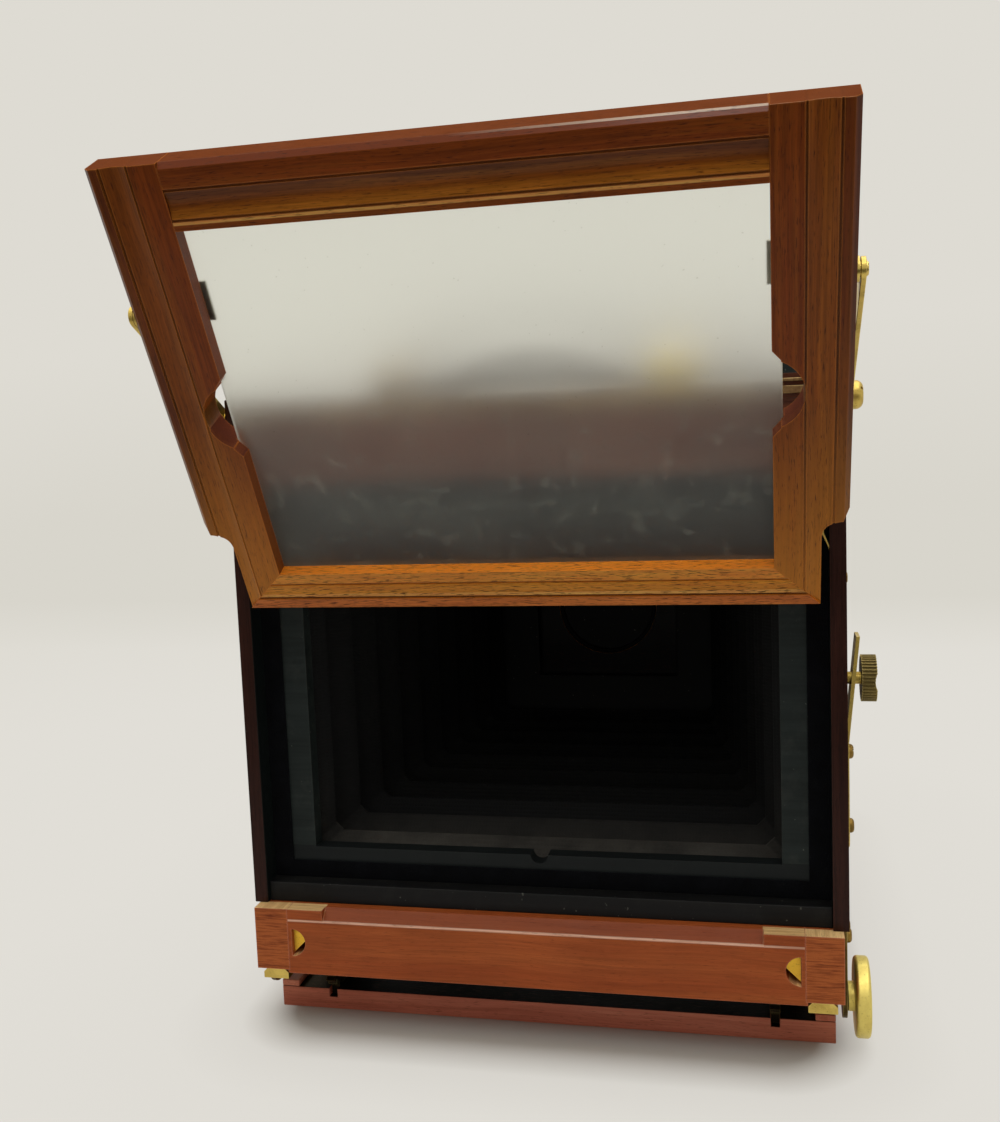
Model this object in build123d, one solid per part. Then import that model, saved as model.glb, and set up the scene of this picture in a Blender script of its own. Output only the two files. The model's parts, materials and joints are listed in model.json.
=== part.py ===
from build123d import *
import os
from math import asin, atan2, cos, degrees, hypot, pi, radians, sin, sqrt, tan

# Half-plate wooden plate camera, focused by rack, with its screen swung up behind it.
# Millimetres. +X is the operator's right, +Y points at the subject, +Z is up.
# The origin is the mouth of the tripod bush, in the middle of the base's underside.

# Glass plate and focusing screen
plate_w = 165.1
plate_h = 120.65
glass_t = 2.0
glass_lap_x = 2.85  # the frame covers this much of the glass at each side
glass_lap_z = 1.8
glass_room = 0.3  # air round the glass in its rebate
screen_t = 10.0
glass_set = 5.0  # front of the glass behind the front of the frame
stile_w = 21.5
top_rail_h = 18.8
bottom_rail_h = 13.7
foot_step = 7.8  # the feet of the stiles are this much narrower
foot_h = 34.0
foot_slope = 4.0  # height of the slanting edge above the scoop
scoop_r = 6.0
notch_r = 10.9
notch_depth = 8.9
notch_lead = 2.4
notch_mouth = 13.2  # half heights of the notch's slanting lead
notch_neck = 10.4
line_w = 0.7  # moulding lines
line_depth = 0.5
cove_depth = 0.9  # hollow mouldings between the lines
stile_lines = (8.8, 17.0)  # from the inner edge
top_line = 11.4
bottom_lines = (4.2, 9.8)
bead_line = 3.0
edge_bevel = 1.6
clip_w = 10.0
clip_len = 12.0
clip_t = 0.8
clip_reach = 1.0  # past the frame's inner edge
clip_places = (94.0,)  # up from the bottom of the opening
clip_screw_in = 3.3
clip_screw_r = 0.9
clip_head_r = 1.7
clip_head_h = 0.8

# Rear body
wall_t = 5.0
wall_h = 176.8
body_depth = 60.0
body_margin = 0.3  # the walls stand this much outside the screen frame
sill_h = 7.0
sill_set = 2.0
recess = 9.0
mask_t = 6.0
mask_lap_x = 1.55  # the black frame covers this much of a plate
mask_lap_z = 3.3
band_bottom = 5.0
velvet_t = 1.0
velvet_w = 7.0
velvet_sill = 6.0
top_t = 7.5
head_rail_h = 21.25  # rail under the top board
mask_notch_r = 3.0
edge_strip_t = 1.0
edge_strip_h = 4.7
edge_strip_drop = 1.5
edge_strip_lip = 1.0  # thin strip above
edge_strip_gap = 1.3
leaf_t = 0.8
leaf_w = 4.4
leaf_len = 26.0
leaf_bow = 2.4
leaf_ramp = 5.4
leaf_foot = 1.6
leaf_set = 0.6
pin_in = 4.0  # small pin on the right wall, in front of its rear edge
pin_rise = 113.2
pin_head_r = 1.6
pin_head_h = 0.45

# Arms of the screen
pivot_in = 4.0  # body pivot in front of the walls' rear edges
pivot_drop = 7.4
arm_len = 64.6  # between the pivots
arm_rise = 28.5  # degrees above level, as it stands
foot_reach = 3.1  # how far the foot of the screen stands inside the recess
arm_t = 1.4
arm_w = 6.4
arm_gap = 0.3
shoulder_t = 0.35
shoulder_r = 4.4
screen_shoulder_r = 3.4
pivot_r = 2.0
pivot_play = 0.05
pivot_seat = 4.0
pivot_head_r = 4.4
pivot_head_h = 3.1
screen_head_r = 1.8
screen_head_h = 0.35
close_gap = 0.4  # between the closed screen and the back
foot_gap = 0.5  # between the closed screen and the carriage

# Stay on the right wall
stay_y = 18.0  # middle of the stay in front of the walls' rear edges
stay_w = 9.0
stay_t = 1.2
stay_foot = 22.0  # above the carriage
stay_len = 70.8
stay_crank_at = 36.0
stay_crank = 3.6
stay_round = 4.0
stay_screws_at = (7.0, 32.0)
stud_at = 56.5
stud_r = 2.0
stud_play = 0.05
stud_seat = 3.0
stud_slot = 0.6
stud_short = 1.0  # the stud ends this far inside the nut
nut_r = 7.6
nut_t = 4.7
nut_gap = 0.4
nut_flutes = 40
nut_flute_r = 0.4
nut_groove_r = 6.0  # hollow across the nut's outer face
nut_groove_depth = 0.6
flute_r = 1.1

# Handle on the top board
handle_half = 40.0
handle_rise = 9.5
handle_w = 18.0
handle_t = 3.0
handle_tab = 15.0
handle_plate_t = 6.5
handle_plate_gap = 1.0
handle_plate_bevel = 1.5
handle_screw_in = 4.5

# Carriage
carriage_inset = 1.8  # inside the walls' outer faces
carriage_depth = 80.0
carriage_overhang = 5.0
rail_h = 22.0
rail_w = 12.0
rear_rail_t = 12.0
rear_rail_drop = 1.2  # below the side rails
front_rail_t = 12.0
front_rail_h = 12.0
floor_t = 6.0
rail_chamfer = 4.0
chamfer_stop = 13.0
dee_r = 4.8
dee_in = 1.4
dee_z = 10.0  # middle of the half-round notches above the carriage's underside
dee_set = 1.8  # plate behind the face of the rail
dee_cut = (0.4, 4.2)  # slanting lower edge of that plate, from the middle
corner_plate_t = 1.2
corner_plate_h = 16.0
corner_plate_len = 14.0
runner_t = 3.4
runner_w = 9.2
runner_bevel = 1.2
runner_in = 0.6  # inner edge of the runner from that of the side rail
shoe_w = 7.7
shoe_start = 29.0  # start of the sliding shoes in front of the walls' rear edges
slide_gap = 0.3

# Rack, pinion and focusing knob
module = 0.8
pinion_teeth = 16
addendum = 0.64
dedendum = 0.9
backlash = 0.25
spare_teeth = 4
pressure_angle = 20.0
rack_w = 3.0
rack_in = 2.6  # middle of the rack inside the sliding shoe
rack_proud = 1.2  # pitch line above the base board
rack_seat = 3.0
focus_travel = 100.0
travel_gap = 2.0  # left in front of the carriage, racked right forward
pinion_w = 3.4
pinion_y = 14.0  # pinion axis in front of the walls' rear edges
shaft_r = 2.0
shaft_play = 0.05
shaft_gap = 0.5
bearing_t = 1.5
bearing_w = 14.0
bearing_top = 20.5  # above the carriage's underside
bearing_screw_in = 4.0
hub_r = 4.8
hub_len = 2.1
knob_r = 13.0
knob_t = 4.8
knob_round = 1.2
collar_r = 3.4
collar_len = 1.8

# Base
base_setback = 10.0  # the base ends this far in front of the walls' rear edges
base_inset = 2.2
board_t = 7.5
edge_w = 6.5
edge_h = 2.3
bush_thread_r = 4.7625  # 3/8 inch tripod screw
bush_r = 8.0
bush_flange_r = 16.0
bush_flange_t = 2.0
bush_screw_count = 3
bush_screw_len = 4.0

# Front standard and rising panel
post_gap = 1.5  # between the gussets and the base's raised edges
post_w = 12.0
post_t = 15.0
post_clear = 21.0  # between the raised panel and the top bar
front_in = 13.0  # front of the posts behind the front of the base
top_bar_h = 8.0
cap_h = 8.0  # board across the tops of the posts
foot_rail_h = 14.0
front_frame_t = 6.0
front_frame_in = 2.0
front_frame_rim = 8.0  # round the bellows' folds
front_open = 34.0
panel_t = 6.0
panel_half_h = 57.0
panel_gap = 0.4
panel_up = 22.0
panel_down = 10.0
guide_t = 1.2
guide_lap = 4.0
guide_spare = 5.0
gusset_t = 1.5
gusset_h = 66.0
gusset_run = 20.0
gusset_screws_at = (18.0, 58.0)
clamp_r = 6.5
clamp_t = 6.0
clamp_shank_r = 2.0
clamp_seat = 8.0
clamp_drop = 20.0
clamp_flutes = 16

# Lens
barrel_r = 24.0
barrel_wall = 2.0
barrel_len = 42.0
flange_w = 7.0
flange_t = 3.0
flange_screw_count = 4
hood_step = 3.0  # outside of the hood beyond the barrel
hood_len = 16.0
hood_wall = 1.6
hood_lap = 4.0
ring_h = 3.4
ring_w = 8.0
ring_at = 14.0
ring_play = 0.05
ring_flutes = 36
ridge_h = 1.5
ridge_w = 1.5
iris_open_r = 9.0
iris_t = 1.2
rear_glass_t = 6.0
front_glass_t = 7.0
glass_edge = 3.0
cap_wall = 1.6
cap_gap = 0.3
cap_depth = 12.0

# Bellows
pleats = 10
pleat_depth = 8.0
bellows_t = 1.2
bellows_corner = 9.0
bellows_front_half = 50.0  # inner folds at the front

# Small fasteners
screw_r = 1.2
screw_head_r = 2.4
screw_head_h = 1.6
screw_dome = 0.7  # share of the head's height that is rounded
screw_len = 3.6

# Places worked out from the sizes above
sight_w = plate_w - 2 * glass_lap_x
sight_h = plate_h - 2 * glass_lap_z
sight_half = sight_w / 2
screen_half = sight_half + stile_w
foot_half = screen_half - foot_step
screen_h = bottom_rail_h + sight_h + top_rail_h
body_half = screen_half + body_margin
room_half = body_half - wall_t
carriage_half = body_half - carriage_inset
rail_half = carriage_half - rail_w
base_half = carriage_half - base_inset

carriage_reach = carriage_depth - carriage_overhang - base_setback
base_len = carriage_reach + focus_travel + travel_gap + gusset_run + post_t + front_in
base_rear = -base_len / 2
base_front = base_len / 2
back_y = base_rear - base_setback
body_front = back_y + body_depth
pinion_at = back_y + pinion_y
pitch_r = module * pinion_teeth / 2
pitch_z = board_t + rack_proud
axis_z = pitch_z + pitch_r
runner_z = axis_z + shaft_r + shaft_gap
carriage_z = runner_z + runner_t
carriage_top = carriage_z + rail_h
body_top_z = carriage_top + wall_h
carriage_rear = back_y - carriage_overhang
carriage_front = carriage_rear + carriage_depth

sill_top = carriage_top + sill_h
open_half = plate_w / 2 - mask_lap_x
open_low = sill_top + velvet_sill + band_bottom
open_high = open_low + plate_h - 2 * mask_lap_z
head_z = body_top_z - top_t
head_rail_z = head_z - head_rail_h
lens_z = (open_low + open_high) / 2
mask_rear = back_y + recess
mask_front = mask_rear + mask_t

runner_x = rail_half + runner_in
shoe_out = min(base_half - edge_w - slide_gap, runner_x)
rack_x = shoe_out - shoe_w - rack_in

front_y = base_front - front_in
post_rear = front_y - post_t
post_foot = board_t + foot_rail_h
post_top = lens_z + panel_half_h + panel_up + post_clear + top_bar_h
post_half = base_half - edge_w - post_gap - gusset_t
post_in = post_half - post_w
frame_rear = post_rear + front_frame_in
panel_rear = frame_rear + front_frame_t + panel_gap
panel_front = panel_rear + panel_t
flange_r = barrel_r + flange_w
hood_r = barrel_r + hood_step
ring_r = barrel_r + ring_h
barrel_end = panel_front + flange_t + barrel_len
hood_end = barrel_end - hood_lap + hood_len
bearing_out = carriage_half + bearing_t

# The screen hangs on arms: first where it closes, then where it stands swung up
arm_in = body_half + shoulder_t + arm_gap
arm_out = arm_in + arm_t
body_pivot = (back_y + pivot_in, body_top_z - pivot_drop)
pivot_depth = screen_t / 2
closed_y = back_y - close_gap - screen_t + pivot_depth
arm_drop = sqrt(arm_len**2 - (closed_y - body_pivot[0]) ** 2)
closed_pivot = (closed_y, body_pivot[1] - arm_drop)
screen_pivot_s = closed_pivot[1] - carriage_top - foot_gap
open_pivot = (
    body_pivot[0] - arm_len * cos(radians(arm_rise)),
    body_pivot[1] + arm_len * sin(radians(arm_rise)),
)
foot_back = screen_t - pivot_depth
lean_reach = back_y + foot_reach - open_pivot[0]
lean = asin(lean_reach / hypot(screen_pivot_s, foot_back)) - atan2(foot_back, screen_pivot_s)
screen_up = Vector(0, -sin(lean), cos(lean))
screen_face = Vector(0, -cos(lean), -sin(lean))
screen_origin = Vector(0, *open_pivot) - screen_up * screen_pivot_s + screen_face * pivot_depth
screen_place = Plane(origin=screen_origin, x_dir=(1, 0, 0), z_dir=screen_face).location

nodes = {}
back_screws = []  # dome screws of the stay and the bearing plates, and the small pin


def block(x, y, z):
    sides = [high - low for low, high in (x, y, z)]
    middle = [(low + high) / 2 for low, high in (x, y, z)]
    return Pos(*middle) * Box(*sides)


def rod(axis, radius, span, across):
    length = span[1] - span[0]
    middle = (span[0] + span[1]) / 2
    if axis == "X":
        return Pos(middle, *across) * Rot(0, 90, 0) * Cylinder(radius, length)
    if axis == "Y":
        return Pos(across[0], middle, across[1]) * Rot(90, 0, 0) * Cylinder(radius, length)
    return Pos(*across, middle) * Cylinder(radius, length)


def tube(axis, outer, inner, span, across):
    return rod(axis, outer, span, across) - rod(axis, inner, span, across)


def plate_yz(points, x):
    face = Plane.YZ * make_face(Polyline(*points, close=True))
    return Pos(x[0], 0, 0) * extrude(face, x[1] - x[0])


def plate_xz(points, y):
    face = Plane.XZ * make_face(Polyline(*points, close=True))
    return Pos(0, y[1], 0) * extrude(face, y[1] - y[0])


# A dome-headed screw: the head stands on its seat and the shank goes the other way
def screw(axis, seat, across, length=screw_len, head=(screw_head_r, screw_head_h), shank_r=screw_r):
    radius, height = head
    dome = rod(axis, radius, (seat, seat + height), across)
    lines = {"X": Axis.X, "Y": Axis.Y, "Z": Axis.Z}
    rim = dome.edges().filter_by(GeomType.CIRCLE).sort_by(lines[axis])[-1]
    dome = fillet(rim, height * screw_dome)
    return dome + rod(axis, shank_r, (seat - length, seat), across)


def bore(axis, seat, across, length=screw_len, radius=screw_r):
    return rod(axis, radius, (seat - length, seat), across)


def fluted(shape, axis, radius, flutes, span, across, cut_r=flute_r):
    for number in range(flutes):
        turn = 2 * pi * number / flutes
        at = (across[0] + radius * cos(turn), across[1] + radius * sin(turn))
        shape -= rod(axis, cut_r, span, at)
    return shape


def mirrored(shape):
    return mirror(shape, about=Plane.YZ)


def keep(name, *shapes):
    nodes[name] = shapes


def keep_both(name, *right):
    keep(name, *right, *[mirrored(one) for one in right])


# Base with its raised edges and tripod bush
def make_base():
    board = block((-base_half, base_half), (base_rear, base_front), (0, board_t))
    for middle in (-rack_x, rack_x):
        groove_x = (middle - rack_w / 2, middle + rack_w / 2)
        board -= block(groove_x, (base_rear, base_front), (board_t - rack_seat, board_t))
    bush = rod("Z", bush_flange_r, (0, bush_flange_t), (0, 0))
    bush += rod("Z", bush_r, (0, board_t), (0, 0))
    board -= bush
    bush -= rod("Z", bush_thread_r, (0, board_t), (0, 0))
    screws = []
    for spot in PolarLocations((bush_r + bush_flange_r) / 2, bush_screw_count):
        at = (spot.position.X, spot.position.Y)
        head = Pos(*at, bush_flange_t / 2) * Cone(screw_head_r, screw_r, bush_flange_t)
        shank = rod("Z", screw_r, (bush_flange_t, bush_flange_t + bush_screw_len), at)
        bush -= head
        board -= shank
        screws.append(head + shank)
    keep("base_board", board)
    keep("tripod_bush", bush)
    keep("tripod_bush_screws", *screws)
    edge_x = (base_half - edge_w, base_half)
    keep_both("base_edges", block(edge_x, (base_rear, base_front), (board_t, board_t + edge_h)))


# Straight-sided rack teeth, and pinion teeth that mesh with them
def rack_tooth(middle, half_tooth):
    slope = tan(radians(pressure_angle))
    tip = half_tooth - addendum * slope
    root = half_tooth + dedendum * slope
    root_z = pitch_z - dedendum
    tip_z = pitch_z + addendum
    return [
        (middle - root, root_z),
        (middle - tip, tip_z),
        (middle + tip, tip_z),
        (middle + root, root_z),
    ]


def make_racks():
    pitch = pi * module
    half_tooth = (pitch / 2 - backlash) / 2
    count = int(focus_travel / pitch) + spare_teeth
    seat_z = board_t - rack_seat
    root_z = pitch_z - dedendum
    rack_rear = pinion_at - pitch / 2
    rack_front = rack_rear + count * pitch
    points = [(rack_rear, seat_z), (rack_rear, root_z)]
    for number in range(count):
        points += rack_tooth(pinion_at + number * pitch, half_tooth)
    points += [(rack_front, root_z), (rack_front, seat_z)]
    keep_both("racks", plate_yz(points, (rack_x - rack_w / 2, rack_x + rack_w / 2)))


def pinion_outline():
    slope = tan(radians(pressure_angle))
    half_tooth = (pi * module / 2 - backlash) / 2
    root = (pitch_r - dedendum, half_tooth + dedendum * slope)
    tip = (pitch_r + addendum, half_tooth - addendum * slope)
    points = []
    for number in range(pinion_teeth):
        middle = radians(-90 + (number + 0.5) * 360 / pinion_teeth)
        for way, (radius, half) in ((-1, root), (-1, tip), (1, tip), (1, root)):
            turn = middle + way * half / radius
            points.append((pinion_at + radius * cos(turn), axis_z + radius * sin(turn)))
    return points


def make_pinion():
    axis_at = (pinion_at, axis_z)
    gears = []
    for middle in (-rack_x, rack_x):
        span = (middle - pinion_w / 2, middle + pinion_w / 2)
        gears.append(plate_yz(pinion_outline(), span) - rod("X", shaft_r, span, axis_at))
    keep("pinions", *gears)
    hub_in = bearing_out + slide_gap
    knob_in = hub_in + hub_len
    shaft = rod("X", shaft_r, (-hub_in - collar_len, knob_in), axis_at)
    shaft += rod("X", collar_r, (-hub_in - collar_len, -hub_in), axis_at)
    keep("pinion_shaft", shaft)
    disc = rod("X", knob_r, (knob_in, knob_in + knob_t), axis_at)
    disc = fillet(disc.edges().filter_by(GeomType.CIRCLE), knob_round)
    keep("focusing_knob", disc + tube("X", hub_r, shaft_r, (hub_in, knob_in), axis_at))


def make_bearings():
    low_end = rod("X", bearing_w / 2, (carriage_half, bearing_out), (pinion_at, axis_z))
    side_y = (pinion_at - bearing_w / 2, pinion_at + bearing_w / 2)
    plate = low_end + block((carriage_half, bearing_out), side_y, (axis_z, carriage_z + bearing_top))
    plate -= rod("X", shaft_r + shaft_play, (carriage_half, bearing_out), (pinion_at, axis_z))
    screw_z = carriage_z + bearing_top - bearing_screw_in
    places = [(pinion_at + way * bearing_w / 4, screw_z) for way in (-1, 1)]
    for at in places:
        plate -= bore("X", bearing_out, at)
        one = screw("X", bearing_out, at)
        back_screws.extend((one, mirrored(one)))
    keep_both("bearing_plates", plate)
    return [bore("X", bearing_out, at) for at in places]


# Carriage that rides on the base
def make_carriage():
    bearing_holes = make_bearings()
    depth = (carriage_rear, carriage_front)
    side_rail = block((rail_half, carriage_half), depth, (carriage_z, carriage_top))
    for hole in bearing_holes:
        side_rail -= hole
    keep_both("carriage_side_rails", side_rail)
    rear = (carriage_rear, carriage_rear + rear_rail_t)
    rail = block((-rail_half, rail_half), rear, (carriage_z, carriage_top))
    rail += block((-runner_x, runner_x), rear, (carriage_z - rear_rail_drop, carriage_z))
    bevel = [
        (carriage_rear, carriage_top - rail_chamfer),
        (carriage_rear, carriage_top),
        (carriage_rear + rail_chamfer, carriage_top),
    ]
    bevel_half = rail_half - chamfer_stop
    rail -= plate_yz(bevel, (-bevel_half, bevel_half))
    dee_at = carriage_z + dee_z
    flat_x = rail_half - dee_in
    outside = block((flat_x, carriage_half), rear, (carriage_z, carriage_top))
    dee = rod("Y", dee_r, rear, (flat_x, dee_at)) - outside
    rail -= dee
    rail -= mirrored(dee)
    keep("carriage_rear_rail", rail)
    front = (carriage_front - front_rail_t, carriage_front)
    front_z = (carriage_z, carriage_z + front_rail_h)
    keep("carriage_front_rail", block((-rail_half, rail_half), front, front_z))
    floor_y = (back_y + shoe_start, front[0])
    keep("carriage_floor", block((-rail_half, rail_half), floor_y, (carriage_z, carriage_z + floor_t)))
    corner_y = rear[1]
    corner_z = (dee_at - corner_plate_h / 2, dee_at + corner_plate_h / 2)
    corner_x = (rail_half - corner_plate_t, rail_half)
    corner = block(corner_x, (corner_y, corner_y + corner_plate_len), corner_z)
    wing_x = (flat_x - 2 * dee_r, rail_half)
    corner += block(wing_x, (corner_y, corner_y + corner_plate_t), corner_z)
    shown = [
        (flat_x, dee_at + dee_r),
        (flat_x - dee_r, dee_at + dee_r),
        (flat_x - dee_r, dee_at + dee_cut[0]),
        (flat_x, dee_at - dee_cut[1]),
    ]
    corner += plate_xz(shown, (rear[0] + dee_set, rear[1])) & dee
    keep_both("corner_plates", corner)
    runner = block((runner_x, runner_x + runner_w), depth, (runner_z, carriage_z))
    tops = runner.faces().sort_by(Axis.Z)[-1].edges().filter_by(Axis.Y)
    keep_both("runners", chamfer(tops, runner_bevel))
    shoe = block((shoe_out - shoe_w, shoe_out), floor_y, (board_t + slide_gap, carriage_z))
    keep_both("sliding_shoes", shoe)


# Rear body, open at the back for the screen or a plate holder
def make_body():
    sides = block((room_half, body_half), (back_y, body_front), (carriage_top, body_top_z))
    sides -= rod("X", pivot_r, (body_half - pivot_seat, body_half), body_pivot)
    keep("body_wall_left", mirrored(sides))
    for hole in make_stay():
        sides -= hole
    pin_at = (back_y + pin_in, carriage_top + pin_rise)
    back_screws.append(screw("X", body_half, pin_at, head=(pin_head_r, pin_head_h)))
    keep("body_wall_right", sides - bore("X", body_half, pin_at))
    room = (-room_half, room_half)
    keep("body_sill", block(room, (back_y + sill_set, body_front), (carriage_top, sill_top)))
    mask = block(room, (mask_rear, mask_front), (sill_top, head_z))
    mask -= block((-open_half, open_half), (mask_rear, mask_front), (open_low, open_high))
    mask -= rod("Y", mask_notch_r, (mask_rear, mask_front), (0, open_low))
    keep("inner_frame", mask)
    seal_y = (mask_rear - velvet_t, mask_rear)
    seal = block(room, seal_y, (sill_top, head_rail_z))
    clear_half = room_half - velvet_w
    seal -= block((-clear_half, clear_half), seal_y, (sill_top + velvet_sill, head_rail_z - velvet_w))
    keep("velvet_seal", seal)
    keep("body_top_rail", block(room, (back_y, mask_rear), (head_rail_z, head_z)))
    strip_top = body_top_z - edge_strip_drop
    strip_y = (back_y - edge_strip_t, back_y)
    lip_low = strip_top - edge_strip_lip
    lip = block(room, strip_y, (lip_low, strip_top))
    keep("top_edge_strip", lip, block(room, strip_y, (strip_top - edge_strip_h, lip_low - edge_strip_gap)))
    low = head_rail_z - leaf_len
    bowed = room_half - leaf_bow
    leaf = [
        (room_half, low),
        (bowed, low + leaf_ramp),
        (bowed, head_rail_z - leaf_ramp),
        (room_half, head_rail_z),
        (room_half, head_rail_z - leaf_foot),
        (bowed + leaf_t, head_rail_z - leaf_ramp),
        (bowed + leaf_t, low + leaf_ramp),
        (room_half, low + leaf_foot),
    ]
    keep_both("spring_leaves", plate_xz(leaf, (back_y + leaf_set, back_y + leaf_set + leaf_w)))
    keep("back_screws", *back_screws)


# Brass stay on the right wall, sprung outwards, with its stud and thumb nut
def make_stay():
    foot = carriage_top + stay_foot
    middle = back_y + stay_y
    span_y = (middle - stay_w / 2, middle + stay_w / 2)
    bend = foot + stay_crank_at
    top = foot + stay_len
    strip = [
        (body_half, foot),
        (body_half, bend),
        (body_half + stay_crank, top),
        (body_half + stay_crank + stay_t, top),
        (body_half + stay_t, bend),
        (body_half + stay_t, foot),
    ]
    stay = plate_xz(strip, span_y)
    corners = stay.edges().filter_by(Axis.X).group_by(Axis.Z)[0]
    stay = fillet(corners, stay_round)
    stud_place = (middle, foot + stud_at)
    holes = [rod("X", stud_r, (body_half - stud_seat, body_half), stud_place)]
    for place in stay_screws_at:
        at = (middle, foot + place)
        stay -= bore("X", body_half + stay_t, at)
        back_screws.append(screw("X", body_half + stay_t, at))
        holes.append(bore("X", body_half + stay_t, at))
    nut_in = body_half + stay_crank + stay_t + nut_gap
    nut_span = (nut_in, nut_in + nut_t)
    stay -= rod("X", stud_r + stud_slot, (body_half, nut_in), stud_place)
    keep("stay", stay)
    keep("stay_stud", rod("X", stud_r, (body_half - stud_seat, nut_span[1] - stud_short), stud_place))
    nut = tube("X", nut_r, stud_r + stud_play, nut_span, stud_place)
    nut = fluted(nut, "X", nut_r, nut_flutes, nut_span, stud_place, nut_flute_r)
    hollow_x = nut_span[1] + nut_groove_r - nut_groove_depth
    nut -= rod("Y", nut_groove_r, (middle - nut_r, middle + nut_r), (hollow_x, foot + stud_at))
    keep("thumb_nut", nut)
    return holes


# Top board with its leather handle
def make_top():
    board = block((-room_half, room_half), (back_y, body_front), (body_top_z - top_t, body_top_z))
    middle = back_y + body_depth / 2
    span_y = (middle - handle_w / 2, middle + handle_w / 2)
    low = body_top_z
    high = body_top_z + handle_t
    end = handle_half + handle_tab
    outline = [
        ThreePointArc((-handle_half, high), (0, high + handle_rise), (handle_half, high)),
        Polyline((handle_half, high), (end, high), (end, low), (handle_half, low)),
        ThreePointArc((handle_half, low), (0, low + handle_rise), (-handle_half, low)),
        Polyline((-handle_half, low), (-end, low), (-end, high), (-handle_half, high)),
    ]
    strap = extrude(Plane.XZ * make_face(outline), handle_w)
    strap = Pos(0, span_y[1], 0) * strap
    seat = high + handle_plate_t
    plates = []
    screws = []
    for side in (-1, 1):
        plate_x = sorted((side * (handle_half + handle_plate_gap), side * end))
        plate = block(plate_x, span_y, (high, seat))
        plate = chamfer(plate.edges().group_by(Axis.Z)[-1], handle_plate_bevel)
        for way in (-1, 1):
            at = (side * (handle_half + handle_tab / 2), middle + way * (handle_w / 2 - handle_screw_in))
            hole = bore("Z", seat, at, seat - low + screw_len)
            plate -= hole
            strap -= hole
            board -= hole
            screws.append(screw("Z", seat, at, seat - low + screw_len))
        plates.append(plate)
    keep("body_top", board)
    keep("handle", strap)
    keep("handle_plates", *plates)
    keep("handle_screws", *screws)


# Arms and pivots of the focusing screen
def make_arms():
    span = (arm_in, arm_out)
    rise = open_pivot[1] - body_pivot[1]
    run = open_pivot[0] - body_pivot[0]
    middle = Pos((arm_in + arm_out) / 2, body_pivot[0] + run / 2, body_pivot[1] + rise / 2)
    arm = middle * Rot(degrees(atan2(rise, run)), 0, 0) * Box(arm_t, arm_len, arm_w)
    for at in (body_pivot, open_pivot):
        arm += rod("X", arm_w / 2, span, at)
    for at in (body_pivot, open_pivot):
        arm -= rod("X", pivot_r + pivot_play, span, at)
    keep_both("screen_arms", arm)
    seat = arm_out + arm_gap
    reach = seat - body_half + pivot_seat
    pin = screw("X", seat, body_pivot, reach, (pivot_head_r, pivot_head_h), pivot_r)
    pin += rod("X", shoulder_r, (body_half, body_half + shoulder_t), body_pivot)
    keep_both("arm_pivot_screws", pin)
    reach = seat - screen_half + pivot_seat
    pin = screw("X", seat, open_pivot, reach, (screen_head_r, screen_head_h), pivot_r)
    pin += rod("X", screen_shoulder_r, (screen_half, arm_in - arm_gap), open_pivot)
    keep_both("screen_pivot_screws", pin)


# Focusing screen, drawn flat: X across, Y up the frame, its front face at Z = 0
def stile_outline():
    scoop_low = foot_h - foot_slope - scoop_r
    scoop_middle = foot_half + scoop_r
    slant = scoop_r * cos(radians(45))
    start = (foot_half, scoop_low)
    end = (scoop_middle, scoop_low + scoop_r)
    way = (scoop_middle - slant, scoop_low + slant)
    straight = Polyline(
        start,
        (foot_half, 0),
        (sight_half, bottom_rail_h),
        (sight_half, screen_h),
        (screen_half, screen_h),
        (screen_half, foot_h),
        end,
    )
    return make_face([straight, ThreePointArc(end, way, start)])


def notch_cut():
    middle = bottom_rail_h + sight_h / 2
    through = (-screen_t, 0)
    lead = make_face(
        Polyline(
            (sight_half, middle + notch_mouth),
            (sight_half + notch_lead, middle + notch_neck),
            (sight_half + notch_lead, middle - notch_neck),
            (sight_half, middle - notch_mouth),
            close=True,
        )
    )
    cut = rod("Z", notch_r, through, (sight_half + notch_depth - notch_r, middle))
    return cut + Pos(0, 0, -screen_t) * extrude(lead, screen_t)


# A hollow moulding between two lines, along X or Y
def cove(axis, low, high, span):
    half = (high - low) / 2
    radius = (half**2 + cove_depth**2) / (2 * cove_depth)
    return rod(axis, radius, span, ((low + high) / 2, radius - cove_depth))


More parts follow.
